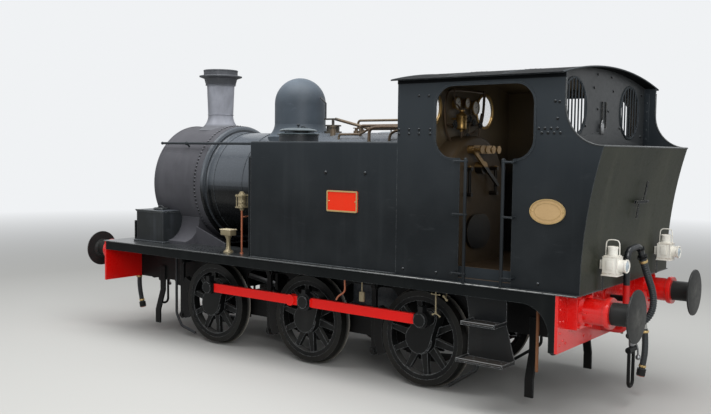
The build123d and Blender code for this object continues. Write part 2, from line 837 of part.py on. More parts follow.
# Roof: an arched sheet with an angle along each eave
eave_angle = (9, 46)
roof_front = cab_front + roof_front_overhang
roof_rear = rear
with BuildPart() as cab_roof:
    with BuildSketch(across(roof_rear)):
        with BuildLine():
            top_arc = ThreePointArc(
                (-roof_half_width, roof_edge + roof_thickness),
                (0, roof_centre + roof_thickness),
                (roof_half_width, roof_edge + roof_thickness),
            )
            under_arc = ThreePointArc(
                (-roof_half_width, roof_edge),
                (0, roof_centre),
                (roof_half_width, roof_edge),
            )
            Line(top_arc @ 0, under_arc @ 0)
            Line(top_arc @ 1, under_arc @ 1)
        make_face()
    extrude(amount=roof_front - roof_rear)
    for side in (-1, 1):
        outer = side_half_width + eave_angle[0]
        with BuildSketch(across(roof_rear)):
            with BuildLine():
                Polyline(
                    (side * side_half_width, roof_under(side_half_width) - eave_angle[1]),
                    (side * outer, roof_under(side_half_width) - eave_angle[1]),
                    (side * outer, roof_under(outer) + roof_thickness / 2),
                    (side * side_half_width, roof_under(side_half_width) + roof_thickness / 2),
                    close=True,
                )
            make_face()
        extrude(amount=cab_front - roof_rear)
finish("cab_roof", cab_roof)

# Bunker: leaning back plate, front plate inside the cab and a sloping plate over it
bunker_front = rear + 445
with BuildPart() as bunker:
    with BuildSketch(upright(-cab_inner)):
        with BuildLine():
            outer_lean = ThreePointArc((bunker_foot, plate_top), bunker_bulge, (bunker_lip, bunker_lip_height))
            inner_lean = ThreePointArc(
                (bunker_foot + sheet, plate_top),
                (bunker_bulge[0] + sheet, bunker_bulge[1]),
                (bunker_lip + sheet, bunker_lip_height),
            )
            Line(outer_lean @ 0, inner_lean @ 0)
            Line(outer_lean @ 1, inner_lean @ 1)
        make_face()
    extrude(amount=-2 * cab_inner)
    with BuildSketch(upright(-cab_inner)):
        with BuildLine():
            Polyline(
                (bunker_foot + 6, plate_top),
                (bunker_front + sheet, plate_top),
                (bunker_front + sheet, bunker_inner_top),
                (rear_sheet_x + sheet, bunker_inner_top),
                (rear_sheet_x + sheet, rear_sheet_foot),
                (rear_sheet_x, rear_sheet_foot),
                (rear_sheet_x, bunker_inner_top - sheet),
                (rear_sheet_x - 14, bunker_inner_top - sheet),
                (rear_sheet_x - 14, rear_sheet_foot - 20),
                (rear_sheet_x + 2 * sheet, rear_sheet_foot - 20),
                (rear_sheet_x + 2 * sheet, bunker_inner_top - sheet),
                (bunker_front, bunker_inner_top - sheet),
                (bunker_front, plate_top + sheet),
                (bunker_foot + 6, plate_top + sheet),
                close=True,
            )
        make_face()
    extrude(amount=-2 * cab_inner)
finish("bunker", bunker)

# Cab floor of planks on the running plate, with a low fall plate in each doorway
fall_plate_height = 110
with BuildPart() as cab_floor:
    with BuildSketch(Plane.XY.offset(plate_top)):
        with Locations(((bunker_front + sheet + cab_front - sheet) / 2, 0)):
            Rectangle(cab_front - bunker_front - 2 * sheet, 2 * cab_inner)
    extrude(amount=40)
    for side in (-1, 1):
        with BuildSketch(upright(side * (cab_inner - 30))):
            with Locations(((doorway[0] + doorway[1]) / 2, plate_top + 40 + fall_plate_height / 2)):
                Rectangle(doorway[1] - doorway[0] + 60, fall_plate_height)
        extrude(amount=side * 12)
finish("cab_floor", cab_floor)

# Backhead inside the cab, with its fire door, water gauges, valves and regulator
backhead_depth = 250
backhead_rear = cab_front - sheet - backhead_depth
backhead_foot = plate_top + 40
with BuildPart() as backhead:
    with BuildSketch(across(backhead_rear)):
        with BuildLine():
            Line((-boiler_radius + 40, backhead_foot), (boiler_radius - 40, backhead_foot))
            Line((boiler_radius - 40, backhead_foot), (boiler_radius - 40, boiler_height))
            ThreePointArc(
                (boiler_radius - 40, boiler_height),
                (0, boiler_height + boiler_radius - 40),
                (-boiler_radius + 40, boiler_height),
            )
            Line((-boiler_radius + 40, boiler_height), (-boiler_radius + 40, backhead_foot))
        make_face()
    extrude(amount=backhead_depth)
    fillet(backhead.faces().sort_by(Axis.X)[0].edges().filter_by(Axis.Y, reverse=True), 40)
finish("backhead", backhead)

backhead_crown = boiler_height + boiler_radius - 40
fire_door_height = boiler_height - 407
gauge_y = 290
gauge_levels = (backhead_crown - 642, backhead_crown - 362)
regulator_height = backhead_crown - 352
manifold_height = backhead_crown - 152
with BuildPart() as cab_fittings:
    with BuildSketch(across(backhead_rear)):
        with Locations((0, fire_door_height)):
            SlotOverall(520, 380)
    extrude(amount=-36)
    for side in (-1, 1):
        with BuildSketch(Plane.XY.offset(gauge_levels[0] - 20)):
            with Locations((backhead_rear - 70, side * gauge_y)):
                Circle(17)
        extrude(amount=gauge_levels[1] - gauge_levels[0] + 50)
        for level in gauge_levels:
            with BuildSketch(across(backhead_rear)):
                with Locations((side * gauge_y, level)):
                    Circle(24)
            extrude(amount=-100)
    with BuildSketch(across(backhead_rear)):
        with Locations((0, regulator_height)):
            Circle(70)
    extrude(amount=-90)
    with BuildSketch(across(backhead_rear - 90)):
        with Locations((0, regulator_height)):
            with Locations(Rotation(0, 0, 35)):
                SlotOverall(720, 44)
    extrude(amount=-24)
    with BuildSketch(across(backhead_rear)):
        with Locations((0, manifold_height)):
            SlotOverall(480, 90)
    extrude(amount=-70)
    for place in (-190, -65, 65, 190):
        with BuildSketch(across(backhead_rear - 70)):
            with Locations((place, manifold_height)):
                Circle(18)
        extrude(amount=-80)
        with BuildSketch(across(backhead_rear - 150)):
            with Locations((place, manifold_height)):
                Circle(44)
        extrude(amount=-14)
    lever_x = cab_front - 560
    with BuildSketch(upright(-870)):
        with BuildLine():
            Polyline(
                (lever_x - 26, backhead_foot),
                (lever_x + 26, backhead_foot),
                (lever_x + 70, backhead_foot + 1150),
                (lever_x + 40, backhead_foot + 1150),
                close=True,
            )
        make_face()
    extrude(amount=18)
    with BuildSketch(upright(-840)):
        with Locations((lever_x, backhead_foot + 330)):
            SlotOverall(620, 60)
    extrude(amount=12)
    with BuildSketch(upright(-840)):
        with Locations((lever_x - 280, backhead_foot + 170), (lever_x + 280, backhead_foot + 170)):
            Rectangle(36, 340)
    extrude(amount=12)
    with BuildSketch(Plane.XY.offset(backhead_foot)):
        with Locations((bunker_front + 200, -760)):
            Circle(30)
    extrude(amount=980)
    with BuildSketch(Plane.XY.offset(backhead_foot + 960)):
        with Locations((bunker_front + 200, -760)):
            SlotOverall(300, 34)
    extrude(amount=24)
finish("cab_fittings", cab_fittings)

# Sanding gear: boxes beside the smokebox with lids, and pipes to the outer wheels
sandbox_x = (rear + 5730, rear + 6280)
sandbox_y = (600, 1000)
sandbox_top = 1698
sand_pipe_y = tyre_back + 70
sand_pipe_radius = 18
front_sand_route = [(800, plate_under), (800, 300), (700, 140), (430, 78)]
rear_sand_route = [(-470, plate_under), (-470, 1130), (-650, 780), (-655, 300), (-320, 74)]
with BuildPart() as sanding_gear:
    for side in (-1, 1):
        middle = ((sandbox_x[0] + sandbox_x[1]) / 2, side * (sandbox_y[0] + sandbox_y[1]) / 2)
        length, width = sandbox_x[1] - sandbox_x[0], sandbox_y[1] - sandbox_y[0]
        for level, grow, height in (
            (plate_top, 60, 22),
            (plate_top + 22, 0, sandbox_top - plate_top - 44),
            (sandbox_top - 22, 18, 22),
        ):
            with BuildSketch(Plane.XY.offset(level)):
                with Locations(middle):
                    RectangleRounded(length + grow, width + grow, 24)
            extrude(amount=height)
        with BuildSketch(Plane.XY.offset(sandbox_top)):
            with Locations(middle):
                Circle(95)
        extrude(amount=26)
    add([saddle_block.part, smokebox_drum.part], mode=Mode.SUBTRACT)
    for side in (-1, 1):
        for axle, route in ((leading_axle, front_sand_route), (trailing_axle, rear_sand_route)):
            points = [(axle + x, side * sand_pipe_y, z) for x, z in route]
            start = Vector(*points[0])
            with BuildLine():
                FilletPolyline(*points, radius=90)
            with BuildSketch(Plane(origin=start, z_dir=Vector(*points[1]) - start)):
                Circle(sand_pipe_radius)
            sweep()
finish("sanding_gear", sanding_gear)

# Cab steps: a tapered hanging plate and two treads with turned-up ends
step_back = 985
step_reach = 1240
step_top = (rear + 640, rear + 1110)
upper_tread = (rear + 640, rear + 1010, 858)
lower_tread = (rear + 545, rear + 1060, 486)
tread_thickness = 12
tread_lip = 34
with BuildPart() as cab_steps:
    for side in (-1, 1):
        with BuildSketch(upright(side * step_back)):
            with BuildLine():
                Polyline(
                    (step_top[0], plate_under),
                    (upper_tread[0], upper_tread[2]),
                    (lower_tread[0], lower_tread[2] + tread_lip),
                    (lower_tread[0], lower_tread[2]),
                    (lower_tread[1], lower_tread[2]),
                    (lower_tread[1], lower_tread[2] + tread_lip),
                    (upper_tread[1] + 40, upper_tread[2]),
                    (step_top[1], plate_under),
                    close=True,
                )
            make_face()
        extrude(amount=-side * tread_thickness)
        for low, high, level in (upper_tread, lower_tread):
            with BuildSketch(upright(side * (step_back + tread_thickness))):
                with BuildLine():
                    Polyline(
                        (low, level),
                        (high, level),
                        (high, level + tread_lip),
                        (high - tread_thickness, level + tread_lip),
                        (high - tread_thickness, level + tread_thickness),
                        (low + tread_thickness, level + tread_thickness),
                        (low + tread_thickness, level + tread_lip),
                        (low, level + tread_lip),
                        close=True,
                    )
                make_face()
            extrude(amount=-side * (step_reach - step_back - tread_thickness))
            with BuildSketch(upright(side * (step_reach - tread_thickness))):
                with Locations(((low + high) / 2, level + tread_lip / 4)):
                    Rectangle(high - low, tread_lip / 2)
            extrude(amount=-side * tread_thickness)
finish("cab_steps", cab_steps)

# Guard irons on the frames ahead of the outer wheels, set out over the rails
iron_from_beam = 510
iron_width = 90
iron_thickness = 26
iron_bolted = (560, 900)
iron_foot = 115
rail_middle = (back_to_back + 1435) / 4 + 36
with BuildPart() as guard_irons:
    for place, facing in ends:
        for side in (-1, 1):
            with BuildSketch(across(place - facing * iron_from_beam - iron_width / 2)):
                with BuildLine():
                    Polyline(
                        (side * frame_outer, iron_bolted[1]),
                        (side * frame_outer, iron_bolted[0]),
                        (side * (rail_middle - iron_thickness / 2), iron_foot + 180),
                        (side * (rail_middle - iron_thickness / 2), iron_foot),
                        (side * (rail_middle + iron_thickness / 2), iron_foot),
                        (side * (rail_middle + iron_thickness / 2), iron_foot + 186),
                        (side * (frame_outer + iron_thickness), iron_bolted[0] + 6),
                        (side * (frame_outer + iron_thickness), iron_bolted[1]),
                        close=True,
                    )
                make_face()
            extrude(amount=iron_width)
finish("guard_irons", guard_irons)

# Brake gear: hangers and blocks ahead of each wheel, cross beams and the pull rod
block_gap = 8
brake_block_depth = 110
block_arc = 26
hanger_offset = 655
hanger_top = 1030
hanger_width = 60
brake_beam_radius = 28
beam_level = 300
brake_y = (tyre_back + 44, tyre_face - 4)
hanger_y = (tyre_back + 62, tyre_back + 102)
with BuildPart() as brake_hangers:
    for axle in axles.values():
        for side in (-1, 1):
            with BuildSketch(upright(side * hanger_y[0])):
                with Locations((axle + hanger_offset, (hanger_top + beam_level) / 2)):
                    Rectangle(hanger_width, hanger_top - beam_level)
                with Locations((axle + hanger_offset, hanger_top), (axle + hanger_offset, beam_level)):
                    Circle(48)
                with Locations((axle + hanger_offset, beam_level)):
                    Circle(brake_beam_radius, mode=Mode.SUBTRACT)
            extrude(amount=-side * (hanger_y[1] - hanger_y[0]))
            with BuildSketch(upright(side * frame_outer)):
                with Locations((axle + hanger_offset, hanger_top)):
                    Circle(30)
            extrude(amount=-side * (hanger_y[1] + 20 - frame_outer))
            inner = tread_radius + block_gap
            outer = inner + brake_block_depth
            with BuildSketch(upright(side * brake_y[0])):
                with BuildLine():
                    inner_face = CenterArc((axle, axle_height), inner, -block_arc, 2 * block_arc)
                    outer_face = CenterArc((axle, axle_height), outer, -block_arc, 2 * block_arc)
                    Line(inner_face @ 0, outer_face @ 0)
                    Line(inner_face @ 1, outer_face @ 1)
                make_face()
            extrude(amount=-side * (brake_y[1] - brake_y[0]))
finish("brake_hangers", brake_hangers)

with BuildPart() as brake_rigging:
    for axle in axles.values():
        with BuildSketch(upright(hanger_y[1] + 24)):
            with Locations((axle + hanger_offset, beam_level)):
                Circle(brake_beam_radius)
        extrude(amount=2 * hanger_y[1] + 48)
    with BuildSketch(across(trailing_axle + hanger_offset - 60)):
        with Locations((0, beam_level)):
            Rectangle(26, 50)
    extrude(amount=leading_axle - trailing_axle + 120)
finish("brake_rigging", brake_rigging)

# Wheels: hub, tapered spokes, rim and crank boss, pressed on the axle
rim_inner = tread_radius - tyre_thickness - 52
tyre_inner = tread_radius - tyre_thickness
boss_face = 880
collar_face = 958
rod_inner = 964
rod_boss_width = 82
rod_thickness = 46
pin_end = rod_inner + rod_boss_width + moving_gap
washer_thickness = 18


def pin_place(axle, side):
    angle = radians(crank_angles[side])
    return (axle + crank_throw * cos(angle), axle_height + crank_throw * sin(angle))


def wheel_centre(axle, side):
    pin = pin_place(axle, side)
    with BuildPart() as wheel:
        with BuildSketch(upright(side * (tyre_back + 16))):
            with Locations((axle, axle_height)):
                Circle(tyre_inner)
                Circle(rim_inner, mode=Mode.SUBTRACT)
        extrude(amount=-side * (tyre_width - 24))
        with BuildSketch(upright(side * (tyre_back + 40))):
            with Locations((axle, axle_height)):
                with PolarLocations(0, spoke_count, start_angle=crank_angles[side]):
                    Polygon(
                        (hub_radius - 30, -42),
                        (rim_inner + 12, -27),
                        (rim_inner + 12, 27),
                        (hub_radius - 30, 42),
                        align=None,
                    )
        extrude(amount=-side * 56)
        with BuildSketch(upright(side * (tyre_back + 4))):
            with Locations((axle, axle_height)):
                Circle(hub_radius)
        extrude(amount=-side * (boss_face - 20 - tyre_back - 4))
        with BuildSketch(upright(side * (tyre_back + 50))):
            with Locations((axle, axle_height)):
                Circle(hub_radius - 12)
            with Locations(pin):
                Circle(98)
            make_hull()
        extrude(amount=-side * (boss_face - tyre_back - 50))
        for radius, start, end in (
            (76, boss_face, collar_face),
            (crankpin_radius, collar_face, pin_end),
            (70, pin_end, pin_end + washer_thickness),
        ):
            with BuildSketch(upright(side * start)):
                with Locations(pin):
                    Circle(radius)
            extrude(amount=-side * (end - start))
    return wheel.part


web_inner, web_outer, web_width = 190, 400, 60
for name, axle in axles.items():
    wheels = [wheel_centre(axle, side) for side in (-1, 1)]
    with BuildPart() as wheelset:
        add(wheels)
        if name == "driving":
            shafts = ((-tyre_back - 10, -web_outer), (-web_inner, web_inner), (web_outer, tyre_back + 10))
        else:
            shafts = ((-tyre_back - 10, tyre_back + 10),)
        for low, high in shafts:
            with BuildSketch(upright(high)):
                with Locations((axle, axle_height)):
                    Circle(axle_radius)
            extrude(amount=high - low)
        if name == "driving":
            for side in (-1, 1):
                angle = radians(crank_angles[side] + 180)
                pin = (axle + crank_throw * cos(angle), axle_height + crank_throw * sin(angle))
                for start in (web_inner, web_outer - web_width):
                    with BuildSketch(upright(side * start)):
                        with Locations((axle, axle_height)):
                            Circle(axle_radius + 38)
                        with Locations(pin):
                            Circle(105)
                        make_hull()
                    extrude(amount=-side * web_width)
                with BuildSketch(upright(side * web_inner)):
                    with Locations(pin):
                        Circle(78)
                extrude(amount=-side * (web_outer - web_inner))
    finish(name + "_wheelset", wheelset)

    with BuildPart() as tyres:
        for side in (-1, 1):
            with BuildSketch(Plane.XY.offset(axle_height)):
                with BuildLine():
                    Polyline(
                        (axle + tyre_inner, side * tyre_back),
                        (axle + tread_radius + flange_height - 12, side * tyre_back),
                        (axle + tread_radius + flange_height, side * (tyre_back + 11)),
                        (axle + tread_radius + flange_height, side * (tyre_back + 18)),
                        (axle + tread_radius + 2, side * (tyre_back + 36)),
                        (axle + tread_radius - 6, side * tyre_face),
                        (axle + tyre_inner, side * tyre_face),
                        close=True,
                    )
                make_face()
            revolve(axis=Axis((axle, 0, axle_height), (0, 1, 0)))
    finish(name + "_tyres", tyres)

# Coupling rods join the three crankpins on each side
boss_radius = 88
middle_boss_radius = 104
knuckle_reach = 215
rod_depth = 107
for node, side in (("left_coupling_rod", 1), ("right_coupling_rod", -1)):
    pins = [pin_place(axle, side) for axle in axles.values()]
    level = pins[0][1]
    with BuildPart() as coupling_rod:
        with BuildSketch(upright(side * (rod_inner + (rod_boss_width - rod_thickness) / 2))):
            with Locations(((pins[0][0] + pins[2][0]) / 2, level)):
                Rectangle(pins[2][0] - pins[0][0], rod_depth)
        extrude(amount=-side * rod_thickness)
        with BuildSketch(upright(side * rod_inner)):
            for place, radius in zip(pins, (boss_radius, middle_boss_radius, boss_radius)):
                with Locations(place):
                    Circle(radius)
            with Locations((pins[1][0] + knuckle_reach, level)):
                Circle(66)
            for place in pins:
                with Locations((place[0], level + 108)):
                    Rectangle(56, 70)
        extrude(amount=-side * rod_boss_width)
        with BuildSketch(upright(side * rod_inner)):
            for place in pins:
                with Locations(place):
                    Circle(crankpin_radius + running_clearance)
        extrude(amount=-side * rod_boss_width, mode=Mode.SUBTRACT)
    finish(node, coupling_rod)

# Handrails along the boiler, by the doorways and at the tanks' fronts
rail_radius = 16
bracket_radius = 11
boiler_rail_drop = 25
boiler_rail_height = tank_top - boiler_rail_drop
boiler_rail_y = 665
boiler_rail_ends = (tank_front - 60, smokebox_front - 20)
boiler_rail_bracket = smokebox_front - 517
pillar_places = (rear + 570, rear + 972)
pillar_y = side_half_width + 66
pillar_ends = (plate_top, 2468)
tank_rail = (tank_front + 66, 1148)
tank_rail_radius = 17
tank_rail_top = 2455
boiler_rail_rise = boiler_rail_height - boiler_height
boiler_rail_reach = hypot(boiler_rail_y, boiler_rail_rise)
with BuildPart() as handrails:
    for side in (-1, 1):
        with BuildSketch(across(boiler_rail_ends[0])):
            with Locations((side * boiler_rail_y, boiler_rail_height)):
                Circle(rail_radius)
        extrude(amount=boiler_rail_ends[1] - boiler_rail_ends[0])
        outward = Plane(
            origin=(boiler_rail_bracket, 0, boiler_height),
            x_dir=(1, 0, 0),
            z_dir=(0, side * boiler_rail_y, boiler_rail_rise),
        )
        with BuildSketch(outward.offset(smokebox_radius)):
            Circle(bracket_radius)
        extrude(amount=boiler_rail_reach - smokebox_radius)
        for place, stand in zip(pillar_places, (-95, 135)):
            with BuildSketch(Plane.XY.offset(pillar_ends[0])):
                with Locations((place, side * pillar_y)):
                    Circle(rail_radius)
            extrude(amount=pillar_ends[1] - pillar_ends[0])
            for level in (pillar_ends[0] + 90, 1930, pillar_ends[1] - 24):
                with BuildSketch(across(place)):
                    with Locations((side * pillar_y, level)):
                        Circle(bracket_radius)
                extrude(amount=stand)
                with BuildSketch(upright(side * side_half_width)):
                    with Locations((place + stand, level)):
                        Circle(bracket_radius)
                extrude(amount=-side * (pillar_y + bracket_radius - side_half_width))
        with BuildLine():
            FilletPolyline(
                (tank_rail[0], side * tank_rail[1], plate_top),
                (tank_rail[0], side * tank_rail[1], tank_rail_top),
                (tank_front, side * tank_rail[1], tank_rail_top),
                radius=45,
            )
        with BuildSketch(Plane.XY.offset(plate_top)):
            with Locations((tank_rail[0], side * tank_rail[1])):
                Circle(tank_rail_radius)
        sweep()
finish("handrails", handrails)

# Lamp irons: flat upright blades at both ends, forked ones on the bunker's back and the cab's rear sheet
lamp_y = 760
lamp_iron_x = bunker_foot - 34
iron_blade = (46, 8)
blade_height = 250
fork_gap = 92
fork_bar = (30, 14)
cab_fork = (2790, 262)
bunker_fork = (1900, 2075, 2265)
bunker_fork_stand = 42
bunker_fork_span = 230


def bunker_back(z):
    # the bunker's back face at a height, on the circle through its foot, bulge and lip
    (x1, z1), (x2, z2), (x3, z3) = (bunker_foot, plate_top), bunker_bulge, (bunker_lip, bunker_lip_height)
    a, b, c = x1 - x2, z1 - z2, x1 - x3
    d, e, f = z1 - z3, (x1**2 - x2**2 + z1**2 - z2**2) / 2, (x1**2 - x3**2 + z1**2 - z3**2) / 2
    centre_x = (e * d - b * f) / (a * d - b * c)
    centre_z = (a * f - e * c) / (a * d - b * c)
    side = 1 if x2 > centre_x else -1
    return centre_x + side * sqrt((x1 - centre_x) ** 2 + (z1 - centre_z) ** 2 - (z - centre_z) ** 2)


with BuildPart() as lamp_irons:
    for side in (-1, 1):
        with BuildSketch(Plane.XY.offset(plate_top)):
            with Locations((lamp_iron_x, side * lamp_y), (front - 60, side * lamp_y)):
                Rectangle(iron_blade[1], iron_blade[0])
        extrude(amount=blade_height)
        with BuildSketch(Plane.XY.offset(cab_fork[0])):
            with Locations((rear_sheet_x - fork_bar[1] / 2, side * fork_gap / 2)):
                Rectangle(fork_bar[1], fork_bar[0] * 0.6)
        extrude(amount=cab_fork[1])
    for low, high, left, right, near, far in (
        # two upright bars, the crossbar between them and the block that seats it
        (bunker_fork[0], bunker_fork[1], 45, 75, bunker_fork_stand, bunker_fork_stand + fork_bar[1]),
        (
            bunker_fork[1] - fork_bar[0],
            bunker_fork[2],
            -75,
            -45,
            bunker_fork_stand,
            bunker_fork_stand + fork_bar[1],
        ),
        (
            bunker_fork[1] - fork_bar[0],
            bunker_fork[1],
            -bunker_fork_span / 2,
            bunker_fork_span / 2,
            bunker_fork_stand,
            bunker_fork_stand + fork_bar[1],
        ),
        (bunker_fork[1] - fork_bar[0], bunker_fork[1], -60, 60, 0, bunker_fork_stand),
    ):
        with BuildSketch(upright(right)):
            Polygon(
                (bunker_back(low) - near, low),
                (bunker_back(high) - near, high),
                (bunker_back(high) - far, high),
                (bunker_back(low) - far, low),
                align=None,
            )
        extrude(amount=right - left)
finish("lamp_irons", lamp_irons)

# Lamps on the rear irons: a square case, a lens facing back, a lipped chimney and a wire handle
lamp_x = bunker_foot - 125
lamp_base = plate_top + 148
lamp_case = 142
lamp_case_height = 188
lamp_sole = (158, 12)
lamp_chimney = (92, 66)
lamp_lens = (64, 56)
lamp_wire_radius = 5
lamp_handle = (62, 150)
lamp_top = lamp_base + lamp_case_height + lamp_sole[1]
with BuildPart() as lamps:
    for side in (-1, 1):
        middle = (lamp_x, side * lamp_y)
        for level, size, height in (
            (lamp_base, lamp_sole[0], lamp_sole[1]),
            (lamp_base + lamp_sole[1], lamp_case, lamp_case_height - lamp_sole[1]),
            (lamp_base + lamp_case_height, lamp_case - 22, lamp_sole[1]),
        ):
            with BuildSketch(Plane.XY.offset(level)):
                with Locations(middle):
                    RectangleRounded(size, size, 8)
            extrude(amount=height)
        for level, size, height in (
            (lamp_top, lamp_chimney[0] - 8, lamp_chimney[1] - 16),
            (lamp_top + lamp_chimney[1] - 16, lamp_chimney[0], 16),
        ):
            with BuildSketch(Plane.XY.offset(level)):
                with Locations(middle):
                    Circle(size / 2)
            extrude(amount=height)
        for start, radius, length in (
            (lamp_case / 2, lamp_lens[0] - 8, lamp_lens[1]),
            (lamp_case / 2 + lamp_lens[1], lamp_lens[0], 12),
        ):
            with BuildSketch(across(lamp_x - start)):
                with Locations((side * lamp_y, lamp_base + 96)):
                    Circle(radius)
            extrude(amount=-length)
        with BuildSketch(upright(side * lamp_y + lamp_case / 2)):
            with Locations((lamp_x, lamp_base + 106)):
                Rectangle(56, 90)
        extrude(amount=-16)
        with BuildSketch(across(lamp_x + lamp_case / 2)):
            with Locations((side * lamp_y, lamp_base + 96)):
                Rectangle(64, 90)
        extrude(amount=lamp_iron_x - iron_blade[1] / 2 - lamp_x - lamp_case / 2)
        with BuildLine():
            FilletPolyline(
                (lamp_x, side * lamp_y - lamp_handle[0], lamp_top - 2),
                (lamp_x, side * lamp_y - lamp_handle[0], lamp_top + lamp_handle[1]),
                (lamp_x, side * lamp_y + lamp_handle[0], lamp_top + lamp_handle[1]),
                (lamp_x, side * lamp_y + lamp_handle[0], lamp_top - 2),
                radius=38,
            )
        with BuildSketch(Plane.XY.offset(lamp_top - 2)):
            with Locations((lamp_x, side * lamp_y - lamp_handle[0])):
                Circle(lamp_wire_radius)
        sweep()
finish("lamps", lamps)

# Hoses: the route of each is a list of points, rounded by arcs as large as its runs allow
vacuum_hose_radius = 38
heating_hose_radius = 34
pipe_step = 6
dummy_place = (70, 150, 770)
vacuum_route = [
    # forward of the beam's face, across, height
    (300, 60, 1500),
    (314, 84, 1420),
    (334, 150, 1290),
    (352, 228, 1160),
    (356, 272, 1040),
    (340, 270, 925),
    (290, 232, 838),
    (210, 180, 784),
    (130, 150, 770),
    (70, 150, 770),
]
heating_route = [
    (196, 500, 700),
    (205, 497, 625),
    (212, 488, 535),
    (214, 476, 445),
    (206, 464, 360),
    (196, 456, 285),
]


def rounded_route(points):
    # the radius at each corner, from the runs beside it and the turn between them
    radii = []
    for before, corner, after in zip(points, points[1:], points[2:]):
        run_in, run_out = Vector(*corner) - Vector(*before), Vector(*after) - Vector(*corner)
        turn = run_in.get_angle(run_out)
        radii.append(0.45 * min(run_in.length, run_out.length) / tan(radians(turn) / 2))
    return radii


hoses = (
    # node, end of the engine, facing, route, radius
    ("rear_vacuum_hose", rear, -1, vacuum_route, vacuum_hose_radius),
    ("front_vacuum_hose", front, 1, vacuum_route, vacuum_hose_radius),
    ("rear_heating_hose", rear, -1, heating_route, heating_hose_radius),
    ("front_heating_hose", front, 1, heating_route, heating_hose_radius),
)
for node, place, facing, route, radius in hoses:
    points = [(place + facing * x, facing * y, z) for x, y, z in route]
    radii = rounded_route(points)
    print(node, "radii", [round(value) for value in radii])
    with BuildPart() as hose:
        with BuildLine() as path:
            FilletPolyline(*points, radius=radii)
        start = Vector(*points[0])
        with BuildSketch(Plane(origin=start, z_dir=Vector(*points[1]) - start)):
            Circle(radius)
        sweep()
    print(node, "length", round(path.wires()[0].length), "volume ratio",
          round(hose.part.volume / (pi * radius**2 * path.wires()[0].length), 4))
    finish(node, hose)

# Vacuum standpipes with their swan necks, and the heating pipes with their elbows and couplings
standpipe = (236, -190)
standpipe_foot = 800
neck_rise = 1590
neck_run = 130
elbow_run = 80
coupling_grow = 12
main_pipe_radius = 22
main_pipe_back = 100
main_pipe_drop = 690
main_pipe_start = -1160


def before_start(route, distance):
    # a point in line behind a route's first run
    start = Vector(*route[0])
    return start - (Vector(*route[1]) - start).normalized() * distance


def at_end(place, facing, point):
    return (place + facing * point[0], facing * point[1], point[2])


with BuildPart() as vacuum_pipes:
    for place, facing in ends:
        neck = before_start(vacuum_route, neck_run)
        with BuildLine():
            FilletPolyline(
                at_end(place, facing, (0, standpipe[1], standpipe_foot)),
                at_end(place, facing, (standpipe[0], standpipe[1], standpipe_foot)),
                at_end(place, facing, (standpipe[0], standpipe[1], neck_rise)),
                at_end(place, facing, (neck.X, neck.Y, neck.Z)),
                at_end(place, facing, vacuum_route[0]),
                radius=(70, 80, 70),
            )
        with BuildSketch(across(place)):
            with Locations((facing * standpipe[1], standpipe_foot)):
                Circle(vacuum_hose_radius - pipe_step)
        sweep()
finish("vacuum_pipes", vacuum_pipes)

with BuildPart() as heating_pipes:
    for place, facing in ends:
        elbow = before_start(heating_route, elbow_run)
        with BuildLine():
            FilletPolyline(
                at_end(place, facing, (0, elbow.Y, elbow.Z)),
                at_end(place, facing, (elbow.X, elbow.Y, elbow.Z)),
                at_end(place, facing, heating_route[0]),
                radius=50,
            )
        with BuildSketch(across(place)):
            with Locations((facing * elbow.Y, elbow.Z)):
                Circle(heating_hose_radius - pipe_step)
        sweep()
        with BuildLine():
            FilletPolyline(
                at_end(place, facing, (-main_pipe_back, main_pipe_start, plate_under)),
                at_end(place, facing, (-main_pipe_back, main_pipe_start, main_pipe_drop)),
                at_end(place, facing, (-main_pipe_back, elbow.Y, main_pipe_drop)),
                at_end(place, facing, (-main_pipe_back, elbow.Y, elbow.Z)),
                at_end(place, facing, (-beam_thickness, elbow.Y, elbow.Z)),
                radius=(60, 40, 40),
            )
        with BuildSketch(Plane.XY.offset(plate_under)):
            with Locations(at_end(place, facing, (-main_pipe_back, main_pipe_start, 0))[:2]):
                Circle(main_pipe_radius)
        sweep()
        tip = Vector(*at_end(place, facing, heating_route[-1]))
        last = tip - Vector(*at_end(place, facing, heating_route[-2]))
        with BuildSketch(Plane(origin=tip, z_dir=last)):
            Circle(heating_hose_radius + coupling_grow)
        extrude(amount=70)
        with BuildSketch(across(place)):
            with Locations((facing * dummy_place[1], dummy_place[2])):
                Rectangle(120, 90)
        extrude(amount=facing * 20)
        with BuildSketch(across(place)):
            with Locations((facing * dummy_place[1], dummy_place[2])):
                Circle(vacuum_hose_radius + coupling_grow)
        extrude(amount=facing * dummy_place[0])
finish("heating_pipes", heating_pipes)

